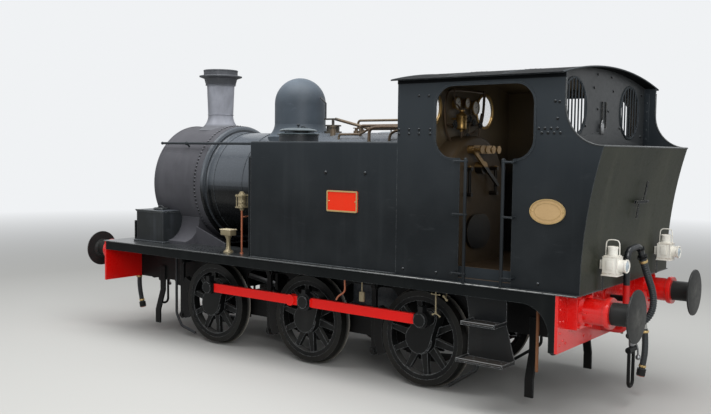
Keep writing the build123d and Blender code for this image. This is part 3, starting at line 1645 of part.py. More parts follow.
# Safety valve with its easing lever, the turret's valves, and the pipes back to the cab
valve_x = rear + 3640
valve_height = 2850
valve_radius = 82
lever_height = 2915
lever_reach = (60, 135)
easing_rod_x = valve_x + 118
easing_rod_top = 3128
rod_radius = 8
turret_places = ((rear + 3470, 210, 2790), (rear + 3330, -190, 2800), (rear + 3200, 90, 2775))
pipe_runs = (
    # radius, points forward of the rear beam, across and up, ending at the cab front
    (19, [(3600, 0, 2925), (3060, 0, 2800), (cab_front_from_beam, 0, 2800)]),
    (15, [(3370, -170, 2800), (3370, -170, 2908), (cab_front_from_beam, -170, 2908)]),
    (18, [(3020, 240, 2700), (3020, 240, 2828), (cab_front_from_beam, 240, 2828)]),
    (
        14,
        [
            (3280, 330, 2640),
            (3280, 330, 2724),
            (2960, 330, 2724),
            (2800, 330, 2800),
            (cab_front_from_beam, 330, 2800),
        ],
    ),
)
with BuildPart() as boiler_mountings:
    for level, radius, height in (
        (boiler_height + boiler_radius - 60, valve_radius + 30, 78),
        (boiler_height + boiler_radius, valve_radius, valve_height - boiler_height - boiler_radius),
        (valve_height - 16, valve_radius + 22, 16),
    ):
        with BuildSketch(Plane.XY.offset(level)):
            with Locations((valve_x, 0)):
                Circle(radius)
        extrude(amount=height)
    with BuildSketch(Plane.XY.offset(valve_height)):
        with Locations((valve_x, 0)):
            Circle(18)
    extrude(amount=lever_height - valve_height)
    with BuildSketch(Plane.XY.offset(lever_height)):
        with Locations((valve_x + (lever_reach[1] - lever_reach[0]) / 2, 0)):
            Rectangle(lever_reach[0] + lever_reach[1], 34)
    extrude(amount=20)
    with BuildLine():
        FilletPolyline(
            (easing_rod_x, 0, lever_height + 20),
            (easing_rod_x, 0, easing_rod_top),
            (easing_rod_x + 95, 0, easing_rod_top + 74),
            radius=20,
        )
    with BuildSketch(Plane.XY.offset(lever_height + 20)):
        with Locations((easing_rod_x, 0)):
            Circle(rod_radius)
    sweep()
    for x, y, height in turret_places:
        seat = boiler_height + sqrt(boiler_radius**2 - y**2) - 30
        with BuildSketch(Plane.XY.offset(seat)):
            with Locations((x, y)):
                Circle(34)
        extrude(amount=height - seat)
        with BuildSketch(Plane.XY.offset(height)):
            with Locations((x, y)):
                Circle(20)
        extrude(amount=26)
        with BuildSketch(Plane.XY.offset(height + 26)):
            with Locations((x, y)):
                Circle(40)
        extrude(amount=10)
    for radius, route in pipe_runs:
        points = [Vector(rear + x, y, z) for x, y, z in route]
        with BuildLine():
            FilletPolyline(*points, radius=36)
        with BuildSketch(Plane(origin=points[0], z_dir=points[1] - points[0])):
            Circle(radius)
        sweep()
    with Locations(((cab_front + dome_x) / 2, 0, boiler_height)):
        Cylinder(boiler_radius, dome_x - cab_front, rotation=(0, 90, 0), mode=Mode.SUBTRACT)
finish("boiler_mountings", boiler_mountings)

# Lubricators: a brass pot on a pipe and an oil box on a flared pedestal, each side
pot_from_beam = 4196
box_from_beam = 4430
lubricator_y = 1050
pot_flange = (118, 18)
pot_radius = 44
pot_height = 156
pot_foot = plate_top + 556
box_size = (176, 104, 78)
pedestal_height = 208
with BuildPart() as lubricators:
    for side in (-1, 1):
        pot = (rear + pot_from_beam, side * lubricator_y)
        box = (rear + box_from_beam, side * lubricator_y)
        pot_top = pot_foot + pot_height
        for level, radius, height in (
            (plate_top, 13, pot_foot - plate_top),
            (pot_foot - 26, 26, 26),
            (pot_foot + pot_flange[1], pot_radius, pot_height - 2 * pot_flange[1]),
            (pot_top, 30, 16),
            (pot_top + 16, 18, 30),
        ):
            with BuildSketch(Plane.XY.offset(level)):
                with Locations(pot):
                    Circle(radius)
            extrude(amount=height)
        for level in (pot_foot, pot_top - pot_flange[1]):
            with BuildSketch(Plane.XY.offset(level)):
                with Locations(pot):
                    RectangleRounded(pot_flange[0], pot_flange[0], 20)
            extrude(amount=pot_flange[1])
        with BuildSketch(Plane.XZ.offset(-box[1])):
            with BuildLine():
                Polyline(
                    (box[0], plate_top),
                    (box[0] + 62, plate_top),
                    (box[0] + 60, plate_top + 12),
                    (box[0] + 32, plate_top + 34),
                    (box[0] + 24, plate_top + 110),
                    (box[0] + 26, plate_top + 160),
                    (box[0] + 48, plate_top + pedestal_height),
                    (box[0], plate_top + pedestal_height),
                    close=True,
                )
            make_face()
        revolve(axis=Axis((box[0], box[1], 0), (0, 0, 1)))
        with BuildSketch(Plane.XY.offset(plate_top + pedestal_height)):
            with Locations(box):
                RectangleRounded(box_size[0], box_size[1], 12)
        extrude(amount=box_size[2] - 12)
        with BuildSketch(Plane.XY.offset(plate_top + pedestal_height + box_size[2] - 12)):
            with Locations(box):
                RectangleRounded(box_size[0] + 14, box_size[1] + 14, 14)
        extrude(amount=12)
finish("lubricators", lubricators)

# Overflow pipes hang below the running plate beside the steps, with a flange at their top
overflow = (rear + 262, 1100)
overflow_foot = 487
overflow_radius = 15
with BuildPart() as overflow_pipes:
    for side in (-1, 1):
        with BuildSketch(Plane.XY.offset(overflow_foot)):
            with Locations((overflow[0], side * overflow[1])):
                Circle(overflow_radius)
                Circle(overflow_radius - 5, mode=Mode.SUBTRACT)
        extrude(amount=plate_under - 12 - overflow_foot)
        with BuildSketch(Plane.XY.offset(plate_under - 12)):
            with Locations((overflow[0], side * overflow[1])):
                Circle(overflow_radius + 22)
        extrude(amount=12)
finish("overflow_pipes", overflow_pipes)

# Bare plates: the red oblong on each tank and the brass oval on each bunker side
number_plate = (rear + 2522, 1986, 420, 230)
oval_plate = (rear + 147, 2001, 346, 230)
with BuildPart() as plates:
    for side in (-1, 1):
        with BuildSketch(upright(side * side_half_width)):
            with Locations((number_plate[0], number_plate[1])):
                RectangleRounded(number_plate[2], number_plate[3], 18)
            with Locations((oval_plate[0], oval_plate[1])):
                Ellipse(oval_plate[2] / 2, oval_plate[3] / 2)
        extrude(amount=-side * 12)
finish("plates", plates)
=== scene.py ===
import math

import bmesh
import bpy
from mathutils import Matrix, Vector


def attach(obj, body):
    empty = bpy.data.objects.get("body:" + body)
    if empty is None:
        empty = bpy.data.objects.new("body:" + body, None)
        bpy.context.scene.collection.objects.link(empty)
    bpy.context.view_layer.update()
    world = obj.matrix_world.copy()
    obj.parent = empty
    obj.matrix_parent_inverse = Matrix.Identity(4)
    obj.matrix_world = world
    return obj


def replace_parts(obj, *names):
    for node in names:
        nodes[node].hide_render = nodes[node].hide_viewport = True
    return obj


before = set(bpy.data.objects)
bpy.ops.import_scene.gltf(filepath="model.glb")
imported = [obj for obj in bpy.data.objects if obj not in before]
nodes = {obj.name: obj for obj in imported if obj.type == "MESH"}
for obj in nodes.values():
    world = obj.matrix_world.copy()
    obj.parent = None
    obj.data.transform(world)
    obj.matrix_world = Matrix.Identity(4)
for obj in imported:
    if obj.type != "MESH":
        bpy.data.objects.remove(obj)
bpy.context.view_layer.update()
scene = bpy.context.scene
print("frame loaded,", len(nodes), "nodes")

# the engine's own measures in metres, as the frame has them
rear, front = -3.325, 3.325  # faces of the buffer beams
ends = {"rear": (rear, -1), "front": (front, 1)}
sides = {"left": 1, "right": -1}
axles = (rear + 1.74, rear + 3.34, rear + 4.94)
crankThrow, crankAngle = 0.28, {"left": 119, "right": 29}
plateTop, plateUnder = 1.266, 1.254
sideFace = 1.2  # outside of the tanks, cab and bunker
sheet = 0.010  # thickness of the cab's sheets
cabFront, tankFront, tankTop = rear + 1.815, rear + 3.9, 2.628
boilerHeight = 2.057
smokeRear, smokeFront, smokeRadius = rear + 5.235, rear + 6.152, 0.79
chimneyX = rear + 5.677
bufferHeight, bufferCentre = 1.082, 0.87
rearSheet, bunkerLip = rear + 0.125, 2.599
window = {"middle": (rear + 0.831, 2.8215), "size": (1.056, 0.697), "corner": 0.19}
doorway = (rear + 0.505, rear + 1.076)
rearWindow = (0.725, 2.968, 0.265)  # across, height, radius
frontWindow = (0.585, 3.010, 0.190)
railY, railHeight = 0.665, 2.603
lookX, lookY = (1, 0, 0), (0, 1, 0)

camera = {"place": (-6.483, 8.351, 2.536), "yaw": -52.423, "pitch": -3.819, "roll": 0.668, "lens": 43.03}


def aimCamera(place, yaw, pitch, roll, lens):
    yaw, pitch, roll = (math.radians(angle) for angle in (yaw, pitch, roll))
    ahead = Vector((math.cos(yaw) * math.cos(pitch), math.sin(yaw) * math.cos(pitch), math.sin(pitch)))
    right = ahead.cross(Vector((0, 0, 1))).normalized()
    turn = Matrix((right, right.cross(ahead), -ahead)).transposed() @ Matrix.Rotation(roll, 3, "Z")
    data = bpy.data.cameras.new("camera")
    data.lens = lens
    data.sensor_width = 36
    made = bpy.data.objects.new("camera", data)
    made.matrix_world = Matrix.Translation(place) @ turn.to_4x4()
    scene.collection.objects.link(made)
    scene.camera = made


aimCamera(**camera)
scene.view_settings.view_transform = "Standard"


class Shade:
    # a socket of a node tree, so that shader maths reads as a sum

    def __init__(self, tree, socket=None):
        self.tree = tree
        self.socket = socket

    def node(self, kind, inputs=None, output=0, **settings):
        made = self.tree.nodes.new("ShaderNode" + kind)
        for name, value in settings.items():
            setattr(made, name, value)
        for name, value in (inputs or {}).items():
            if isinstance(value, Shade):
                self.tree.links.new(value.socket, made.inputs[name])
            else:
                made.inputs[name].default_value = value
        return Shade(self.tree, made.outputs[output] if made.outputs else None)

    def sum(self, operation, first, second=0.0):
        return self.node("Math", {0: first, 1: second}, operation=operation)

    def __add__(self, other):
        return self.sum("ADD", self, other)

    def __sub__(self, other):
        return self.sum("SUBTRACT", self, other)

    def __mul__(self, other):
        return self.sum("MULTIPLY", self, other)

    def __rsub__(self, other):
        return self.sum("SUBTRACT", other, self)

    def __abs__(self):
        return self.sum("ABSOLUTE", self)

    def ramp(self, low, high):
        # 0 below low and 1 above high
        return self.node("MapRange", {0: self, 1: low, 2: high}, clamp=True)

    def between(self, low, high, soft=0.0005):
        return self.ramp(low - soft, low + soft) * (1 - self.ramp(high - soft, high + soft))

    def mix(self, first, second):
        # first where this mask is 0, second where it is 1
        return self.node("Mix", {0: self, 6: first, 7: second}, output=2, data_type="RGBA")


def rgb(*looks):
    # a colour in 0 to 255 as it looks, as the shader wants it
    shares = [each / 255 for each in looks]
    return (*(each / 12.92 if each <= 0.04045 else ((each + 0.055) / 1.055) ** 2.4 for each in shares), 1)


materials = {}


def newMaterial(name, slot):
    made = materials[name] = bpy.data.materials.new(name)
    made.use_nodes = True
    made.node_tree.nodes.clear()
    made["slot"] = slot
    return made, Shade(made.node_tree)


def coords(shade, stretch=(1, 1, 1)):
    place = shade.node("TexCoord", output=3)
    return shade.node("Mapping", {0: place, 3: stretch})


def noise(shade, scale, stretch=(1, 1, 1), detail=4.0, rough=0.55):
    return shade.node("TexNoise", {0: coords(shade, stretch), 2: scale, 3: detail, 4: rough})


def axis(shade, which, output=3):
    # a place along X, Y or Z
    place = shade.node("TexCoord", output=output)
    return shade.node("SeparateXYZ", {0: place}, output="XYZ".index(which))


def turned(shade, which):
    # how far a face looks along X, Y or Z
    return axis(shade, which, 1)


def sharpEdges(shade, radius):
    # 1 on sharp edges, where the rounded normal leaves the true one
    rounded = shade.node("Bevel", {0: radius}, samples=4)
    flat = shade.node("NewGeometry", output=1)
    along = shade.node("VectorMath", {0: rounded, 1: flat}, output=1, operation="DOT_PRODUCT")
    return (1 - along).ramp(0.02, 0.22)


# how paint and metal are worn, unless a finish says otherwise
finishLooks = {
    "dust": 0.3,  # dust on faces that look up; on rivet heads it is a painted highlight, on the cladding and filler lids a painted sky reflection
    "dirt": 0.4,  # brake dust low down
    "mottle": 0.22, "streaks": 0.2, "scuffs": 0.25, "wear": 0.55, "edgeRadius": 0.006,
    "rough": 0.4, "metallic": 0.0, "specular": 0.17, "ripple": 0.5, "grain": 0.15, "coat": 0.0,
    "paintedSkyReflection": None,  # painted sky reflection: the colour that upright sheets turn to towards the top
    "mask": None,  # where the colour changes over the piece
    "cover": None,  # what lies over paint and dust
}


def finish(
    name, slot, covered="", colour=(20, 24, 27), dusty=(60, 64, 67), edge=(128, 134, 136), grime=(44, 40, 35),
    **changes
):
    # a material, on the frame's nodes that it covers
    look = dict(finishLooks, **changes)
    made, shade = newMaterial(name, slot)
    tone, dusty, edge, grime = (rgb(*each) for each in (colour, dusty, edge, grime))
    # painted sky reflection: upright sheets grow lighter towards the top
    if look["paintedSkyReflection"]:
        tone = axis(shade, "Z").ramp(1.9, 3.1).mix(tone, rgb(*look["paintedSkyReflection"]))
    if look["mask"]:
        tone = look["mask"](shade, tone)
    broad = noise(shade, 1.3, detail=5)
    fine = noise(shade, 38, detail=6, rough=0.7)
    streak = noise(shade, 5.5, (1, 1, 0.09), detail=5)
    scuff = noise(shade, 9, (0.35, 1, 1.6), detail=7, rough=0.75)
    up = turned(shade, "Z")
    low = 1 - axis(shade, "Z").ramp(0.15, 1.15)
    tone = (broad.ramp(0.42, 0.72) * look["mottle"]).mix(tone, dusty)
    tone = (streak.ramp(0.52, 0.75) * look["streaks"]).mix(tone, dusty)
    tone = (scuff.ramp(0.6, 0.72) * look["scuffs"]).mix(tone, dusty)
    # dust on faces that look up, which also paints the highlight on rivet heads and the sky's reflection on the
    # cladding and filler lids
    tone = (up.ramp(0.3, 0.95) * (fine * 0.6 + broad * 0.8) * look["dust"]).mix(tone, dusty)
    tone = (low * (broad * 0.7 + fine * 0.6) * look["dirt"]).mix(tone, grime)
    # wear on sharp edges; on the steps and sandboxes it is made pale enough to paint the highlight along their edges
    # too
    if look["wear"]:
        worn = sharpEdges(shade, look["edgeRadius"]) * fine.ramp(0.35, 0.6) * look["wear"]
        tone = worn.mix(tone, edge)
    if look["cover"]:
        tone = look["cover"](shade, tone)
    rough = (fine - 0.5) * 0.25 + (broad - 0.5) * 0.18 + scuff.ramp(0.55, 0.7) * 0.12 + look["rough"] + low * 0.12
    height = broad * look["ripple"] + fine * look["grain"] * 0.1
    bump = shade.node("Bump", {"Strength": 0.6, "Distance": 0.004, "Height": height})
    surface = shade.node("BsdfPrincipled", {
        "Base Color": tone, "Roughness": rough, "Metallic": look["metallic"], "Specular IOR Level": look["specular"],
        "Coat Weight": look["coat"], "Coat Roughness": 0.15, "Normal": bump,
    })
    shade.node("OutputMaterial", {"Surface": surface})
    for node in covered.split():
        nodes[node].data.materials.clear()
        nodes[node].data.materials.append(made)


def insideCab(shade, colour):
    # buff paint on the faces that the cab shuts in, darker towards the floor
    x, y, z = (axis(shade, which) for which in "XYZ")
    inside = x.between(rearSheet + 0.0085, cabFront - 0.0085) * abs(y).between(-1, sideFace - 0.0085)
    inside = inside * (1 - turned(shade, "Z").ramp(0.3, 0.5)) * z.ramp(plateTop, plateTop + 0.001)
    return inside.mix(colour, z.ramp(2.25, 2.75).mix(rgb(27, 24, 21), rgb(104, 90, 68)))


def ironBelow(shade, colour):
    # the fire door and the handles are iron, the gauges and the manifold brass
    return axis(shade, "Z").ramp(2.36, 2.38).mix(rgb(30, 29, 28), colour)


def plateField(shade, colour):
    # the oblong is red and the oval is bare brass
    return axis(shade, "X").ramp(rear + 1.5, rear + 1.6).mix(colour, rgb(238, 44, 8))


def rodEnds(side):
    def cover(shade, tone):
        # only the webs between the bosses are red
        pins = [axle + crankThrow * math.cos(math.radians(crankAngle[side])) for axle in axles]
        one, two = (axis(shade, "X").between(low + 0.095, high - 0.095) for low, high in zip(pins, pins[1:]))
        return (one + two).mix(rgb(20, 21, 22), tone)

    return cover


def pipeFoot(shade, colour):
    # black above the lamps' level, red where the pipe stands on the beam
    return axis(shade, "Z").ramp(1.247, 1.251).mix(rgb(196, 18, 14), colour)


def elbowScale(shade, colour):
    # pale scale outside on the elbow
    outer = abs(axis(shade, "X")).ramp(front + 0.16, front + 0.19)
    return (axis(shade, "Z").between(0.655, 0.78, 0.012) * outer).mix(colour, rgb(170, 172, 168))


def potPipe(shade, colour):
    # the slender pipe below the pot is copper
    away = abs(axis(shade, "X") - (rear + 4.196)).ramp(0.016, 0.02)
    below = 1 - axis(shade, "Z").ramp(1.79, 1.796)
    return ((1 - away) * below).mix(colour, rgb(178, 92, 62))


def hotPipes(shade, colour):
    # dark valve column and turrets, brown pipes
    return axis(shade, "X").ramp(rear + 3.5, rear + 3.56).mix(colour, rgb(38, 40, 42))


def polishedLitFlange(shade, colour):
    # the flange is rubbed bright, and made paler still as a painted highlight for the light that falls on it; the
    # tread and the faces of the tyre stay dark
    inner = 1 - abs(axis(shade, "Y")).ramp(0.700, 0.712)
    outward = 1 - abs(turned(shade, "Y")).ramp(0.5, 0.9)
    return (inner * outward).mix(colour, rgb(216, 210, 198))


def paintedSkySheen(shade, colour):
    # painted reflection: the cladding is pale where its faces look above the middle, as the sky shows in it, and dark
    # below, where the ground does
    return turned(shade, "Z").ramp(-0.10, 0.12).mix(rgb(11, 12, 12), colour)


def wornLip(shade, colour):
    # feet wear the plate's edge bright beside the doorway
    x, y, z = (axis(shade, which) for which in "XYZ")
    lip = abs(y).ramp(1.250, 1.256) * z.ramp(1.2585, 1.2615)
    near = x.between(rear + 0.1, rear + 2.0, 0.5) * 0.75 + 0.25
    worn = lip * near * noise(shade, 26, detail=6, rough=0.7).ramp(0.32, 0.5)
    return worn.mix(colour, rgb(206, 206, 204))


def floorBoards(shade, tone):
    # boards on top, dark plate below the floor's edge
    return turned(shade, "Z").ramp(0.5, 0.8).mix(rgb(40, 45, 49), tone)


def wornDisc(shade, colour):
    # the buffers rub bright towards their middles
    y = abs(axis(shade, "Y")) - bufferCentre
    z = axis(shade, "Z") - bufferHeight
    away = shade.sum("SQRT", y * y + z * z)
    face = abs(axis(shade, "X")).ramp(front + 0.575, front + 0.58)
    rubbed = (1 - away.ramp(0.02, 0.2)) * noise(shade, 14, detail=6).ramp(0.35, 0.65) * face
    return (rubbed * 0.7).mix(colour, rgb(92, 92, 88))


def chimneyScale(shade, colour):
    # pale scale on the barrel, soot at the cap
    z = axis(shade, "Z")
    pale = z.between(2.86, 3.42, 0.02) * (noise(shade, 7, (1, 1, 0.5), detail=7).ramp(0.3, 0.7) * 0.45 + 0.5)
    return pale.mix(colour, rgb(166, 169, 179))


print("making materials")
# painted sky reflection on the tanks, bars, handrails and cab sheets, lighter towards the top
sheets = {"paintedSkyReflection": (44, 50, 55)}
# rivet heads: pale tops over dark paint are a painted highlight
heads = {"dust": 1.0, "mottle": 0.0, "streaks": 0.0, "scuffs": 0.0, "wear": 0.0}
metal = {"specular": 0.5, "dirt": 0.1, "wear": 0.4, "ripple": 0.2}
piping = {"specular": 0.5, "dirt": 0.0, "streaks": 0.1, "rough": 0.3}
finish("blackPaint", "black_paint", "left_tank right_tank window_bars handrails", **sheets)
finish("cabPaint", "black_paint", "left_cab_side right_cab_side cab_front_sheet", **sheets, mask=insideCab)
# the sandboxes' wide pale edge wear is partly a painted highlight along their rounded top edges
finish(
    "sandPaint", "black_paint", "sanding_gear filler_necks", (30, 33, 34), (98, 103, 112), dust=0.6, specular=0.25,
    wear=0.9, edgeRadius=0.012,
)
# painted highlight on the tops of the rivet and bolt heads
finish("rivetPaint", "black_paint", "", (9, 11, 12), (142, 148, 152), **heads, rough=0.3, specular=0.35)
finish("sootRivets", "smoke_black", "", (26, 27, 30), (156, 158, 164), **heads, rough=0.45, specular=0.25)
finish(
    "roofPaint", "black_paint", "cab_roof", (11, 13, 15), (26, 28, 30), specular=0.06, rough=0.6, wear=0.3,
    mask=insideCab,
)
finish(
    "sheetPaint", "black_paint", "cab_rear_sheet", (46, 49, 51), (92, 94, 96), specular=0.25, mottle=0.3,
    mask=insideCab,
)
finish(
    "footplatePaint", "black_paint", "running_plate", dusty=(78, 80, 80), edge=(150, 156, 158), wear=0.95,
    edgeRadius=0.009, dust=0.4, scuffs=0.4, rough=0.3, specular=0.35, coat=0.2, mask=wornLip,
)
finish("ironPaint", "black_paint", "lamp_irons", edge=(176, 174, 166), wear=1.0, mottle=0.1, scuffs=0.3)
# the steps' pale edges are worn steel, made paler to paint the highlight along their lips
finish(
    "stepPaint", "black_paint", "cab_steps", dusty=(84, 79, 75), edge=(196, 200, 202), wear=1.0, dust=0.8, mottle=0.1,
    scuffs=0.1,
)
# painted sky reflection: the lids' tops turn pale blue
finish(
    "lidPaint", "black_paint", "left_filler_lid right_filler_lid", (18, 26, 28), (116, 128, 134), dust=0.8,
    mottle=0.05, streaks=0.0, scuffs=0.05, rough=0.3, specular=0.3,
)
finish(
    "valancePaint", "black_paint", "valances", (13, 16, 17), (38, 40, 40), (120, 126, 128), specular=0.1, wear=0.7,
    dirt=0.2,
)
finish(
    "bunkerPaint", "black_paint", "bunker", (40, 43, 35), (76, 77, 66), mottle=0.4, streaks=0.35, rough=0.42,
    specular=0.2,
)
# the cladding's colour is a painted sky reflection, with painted dark below its middle; the pale dust on its top adds
# to the reflection
finish(
    "cladPaint", "black_paint", "boiler", (82, 87, 93), (104, 110, 117), rough=0.26, specular=0.2, streaks=0.03,
    dust=0.7, coat=0.08, mottle=0.06, scuffs=0.03, mask=paintedSkySheen,
)
finish(
    "domePaint", "black_paint", "steam_dome", (62, 70, 78), (112, 124, 136), rough=0.5, specular=0.3, dust=0.6,
    mottle=0.3, streaks=0.12,
)
finish(
    "smokePaint", "smoke_black", "smokebox smokebox_saddle smokebox_door", (70, 70, 75), (100, 100, 105), rough=0.6,
    mottle=0.5, streaks=0.3, dust=0.45, specular=0.2, grain=0.5, scuffs=0.35,
)
finish(
    "chimneyPaint", "smoke_black", "chimney", (78, 80, 84), (126, 127, 133), rough=0.62, mottle=0.4, streaks=0.5,
    dust=0.4, specular=0.2, grain=0.6, mask=chimneyScale,
)
finish(
    "underPaint", "cast_black", """frame_plates axleboxes frame_stretchers cylinder_block leaf_springs guard_irons
    brake_hangers brake_rigging drawhooks screw_couplings""", (12, 13, 14), (38, 37, 35), grime=(32, 29, 26),
    rough=0.45,
    dirt=0.3, wear=0.5, specular=0.14,
)
finish(
    "wheelPaint", "cast_black", "trailing_wheelset driving_wheelset leading_wheelset", (10, 12, 13), (92, 92, 90),
    (150, 154, 156), (34, 31, 28), rough=0.35, dirt=0.15, wear=1.0, dust=1.0, mottle=0.08, streaks=0.05, scuffs=0.06,
    edgeRadius=0.011, specular=0.16,
)
finish(
    "redPaint", "red_paint", "buffer_beams buffer_housings", (222, 12, 8), (176, 40, 30), (240, 110, 98),
    (88, 24, 16),
    rough=0.28, specular=0.35, streaks=0.35, dirt=0.3, mottle=0.3, ripple=0.2, scuffs=0.3, coat=0.6,
)
for side in sides:
    finish(
        side + "RodPaint", "red_paint", side + "_coupling_rod", (240, 16, 10), (206, 52, 40), (238, 120, 106),
        (110, 34, 26), rough=0.3, specular=0.22, dirt=0.2, streaks=0.1, mottle=0.15, ripple=0.1, cover=rodEnds(side),
    )
finish("pipePaint", "cast_black", "vacuum_pipes", rough=0.3, specular=0.5, wear=0.3, coat=0.2, mask=pipeFoot)
finish("heatingPaint", "cast_black", "heating_pipes", (24, 26, 27), wear=0.4, mask=elbowScale)
finish(
    "enamel", "white_paint", "lamps", (242, 240, 232), (210, 202, 182), (120, 76, 44), (140, 96, 60), rough=0.35,
    specular=0.5, dirt=0.0, streaks=0.45, wear=0.75, ripple=0.3, edgeRadius=0.004, scuffs=0.35, mottle=0.3,
)
finish(
    "buffPaint", "cab_cream", "backhead", (84, 70, 52), (60, 50, 38), (60, 48, 38), (50, 40, 30), rough=0.5, dirt=0.0,
    mottle=0.6, wear=0.3,
)
finish(
    "steel", "bright_steel", "slide_bars", (150, 152, 154), (100, 96, 90), (200, 200, 200), (72, 60, 48), rough=0.32,
    metallic=0.85, specular=0.5, mottle=0.5, dirt=0.2, wear=0.3, ripple=0.1,
)
finish(
    "discSteel", "cast_black", "buffer_heads", (30, 31, 31), (58, 57, 55), (128, 130, 132), rough=0.42, metallic=0.15,
    specular=0.25, mottle=0.4, dirt=0.1, wear=0.7, ripple=0.1, mask=wornDisc,
)
finish(
    "brass", "brass", "", (206, 178, 122), (150, 124, 84), (236, 216, 172), (84, 62, 38), **metal, rough=0.36,
    metallic=0.7, mottle=0.6, grain=0.3,
)
finish(
    "cabBrass", "brass", "cab_fittings", (150, 118, 70), (66, 54, 38), (200, 172, 120), (84, 62, 38),
    **dict(metal, dirt=0.0), rough=0.34, metallic=0.6, mottle=0.7, mask=ironBelow,
)
finish(
    "fittingBrass", "brass", "", (176, 142, 84), (112, 88, 56), (224, 196, 140), (84, 62, 38), **metal, rough=0.34,
    metallic=0.75, mottle=0.7,
)
finish(
    "bronze", "brass", "lubricators", (146, 134, 106), (96, 88, 72), (206, 196, 164), (70, 58, 42), rough=0.42,
    metallic=0.45, specular=0.45, mottle=0.6, dirt=0.1, wear=0.6, ripple=0.3, mask=potPipe,
)
finish(
    "hotMetal", "brass", "boiler_mountings", (92, 74, 58), (126, 116, 98), (176, 160, 132), metallic=0.4,
    specular=0.45, mottle=0.7, dirt=0.0, wear=0.4, mask=hotPipes,
)
finish(
    "copper", "brass", "", (176, 104, 74), (112, 76, 58), (240, 196, 164), **piping, metallic=0.5, mottle=0.4,
    wear=0.4,
)
# the oil boxes' pale lids: the pale tone paints the highlight on their tops
finish(
    "lidBrass", "brass", "", (236, 222, 190), (196, 176, 140), (250, 240, 214), **piping, metallic=0.3, mottle=0.3,
    wear=0.3,
)
finish(
    "platePaint", "brass", "plates", (188, 158, 114), (132, 100, 66), (230, 206, 160), specular=0.25, mottle=0.16,
    dirt=0.0, streaks=0.06, scuffs=0.08, dust=0.1, ripple=0.6, grain=0.6, mask=plateField,
)
finish(
    "rust", "cast_black", "overflow_pipes", (112, 74, 50), (136, 98, 70), (150, 112, 84), (74, 50, 36), rough=0.8,
    specular=0.2, mottle=0.8, wear=0.3, grain=0.8,
)
finish(
    "planks", "floor_wood", "cab_floor", (92, 74, 54), (60, 48, 36), (120, 100, 76), rough=0.8, mottle=0.8, dirt=0.0,
    wear=0.4, cover=floorBoards,
)
finish(
    "tyreSteel", "tyre_steel", "trailing_tyres driving_tyres leading_tyres", (20, 22, 22), (40, 38, 34),
    (126, 126, 122), (42, 36, 29), metallic=0.2, specular=0.2, mottle=0.4, dirt=0.3, wear=0.7, mask=polishedLitFlange,
)
finish(
    "rubber", "hose_rubber", "rear_vacuum_hose front_vacuum_hose rear_heating_hose front_heating_hose", (34, 39, 42),
    (76, 80, 82), rough=0.5, mottle=0.5, dirt=0.15, wear=0.0, streaks=0.0, specular=0.4,
)
finish(
    "gasketRed", "hose_rubber", "", (176, 96, 76), (120, 70, 58), rough=0.7, wear=0.0, dirt=0.2, streaks=0.0,
)
finish(
    "glass", "white_paint", "", (168, 182, 192), (206, 214, 220), rough=0.06, specular=0.9, wear=0.0, dirt=0.0,
    streaks=0.0, scuffs=0.0, coat=0.6, ripple=0.1, grain=0.0,
)
shade = newMaterial("clearGlass", "white_paint")[1]
sheen = shade.node("BsdfPrincipled", {"Base Color": rgb(230, 238, 240), "Roughness": 0.05, "Alpha": 0.18})
shade.node("OutputMaterial", {"Surface": sheen})


def addPiece(name, bm, finished, body="engine", merge=1e-5):
    if merge:
        bmesh.ops.remove_doubles(bm, verts=bm.verts, dist=merge)
    bmesh.ops.recalc_face_normals(bm, faces=bm.faces)
    mesh = bpy.data.meshes.new(name)
    bm.to_mesh(mesh)
    bm.free()
    mesh.shade_smooth()
    mesh.set_sharp_from_angle(angle=math.radians(40))
    mesh.materials.append(materials[finished])
    made = bpy.data.objects.new(name, mesh)
    scene.collection.objects.link(made)
    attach(made, body)
    return made


def at(x, y, z):
    return Matrix.Translation((x, y, z))


def ringFrame(place, along):
    # Z along the direction given, Y as near upright as it can be
    return Matrix.Translation(place) @ Vector(along).to_track_quat("Z", "Y").to_matrix().to_4x4()


def quarter(turns, about="Z"):
    return Matrix.Rotation(turns * math.pi / 2, 4, about)


def around(index, count):
    # the direction of one of a ring of points, seen along the engine
    turn = 2 * math.pi * index / count
    return Vector((0, math.cos(turn), math.sin(turn)))


def lathe(bm, profile, matrix=Matrix(), segments=32):
    # a profile of radius and height turned round the matrix's Z axis
    made = [bm.verts.new(matrix @ Vector((radius, 0, height))) for radius, height in profile]
    edges = [bm.edges.new(pair) for pair in zip(made, made[1:])]
    bmesh.ops.spin(
        bm, geom=made + edges, cent=matrix.translation, axis=matrix.to_3x3() @ Vector((0, 0, 1)),
        angle=2 * math.pi, steps=segments, use_merge=True,
    )


def ball(bm, radius, matrix, around=16, up=10):
    bmesh.ops.create_uvsphere(bm, u_segments=around, v_segments=up, radius=radius, matrix=matrix)


def rivet(bm, place, along, radius=0.011, height=0.6):
    ball(bm, radius, ringFrame(place, along) @ Matrix.Diagonal((1, 1, height, 1)), 8, 4)


def bolt(bm, place, along, size=0.014, height=0.012):
    shape = ringFrame(place, along) @ at(0, 0, height / 2)
    bmesh.ops.create_cone(
        bm, cap_ends=True, segments=6, radius1=size, radius2=size * 0.9, depth=height, matrix=shape,
    )


def block(bm, low, high, rounding=0.003, matrix=Matrix()):
    low, high = Vector(low), Vector(high)
    shape = matrix @ Matrix.Translation((low + high) / 2) @ Matrix.Diagonal((*(high - low), 1))
    made = bmesh.ops.create_cube(bm, size=1, matrix=shape)
    edges = list(dict.fromkeys(edge for vert in made["verts"] for edge in vert.link_edges))
    bmesh.ops.bevel(bm, geom=edges, offset=rounding, segments=2, profile=0.5, affect="EDGES", material=-1)


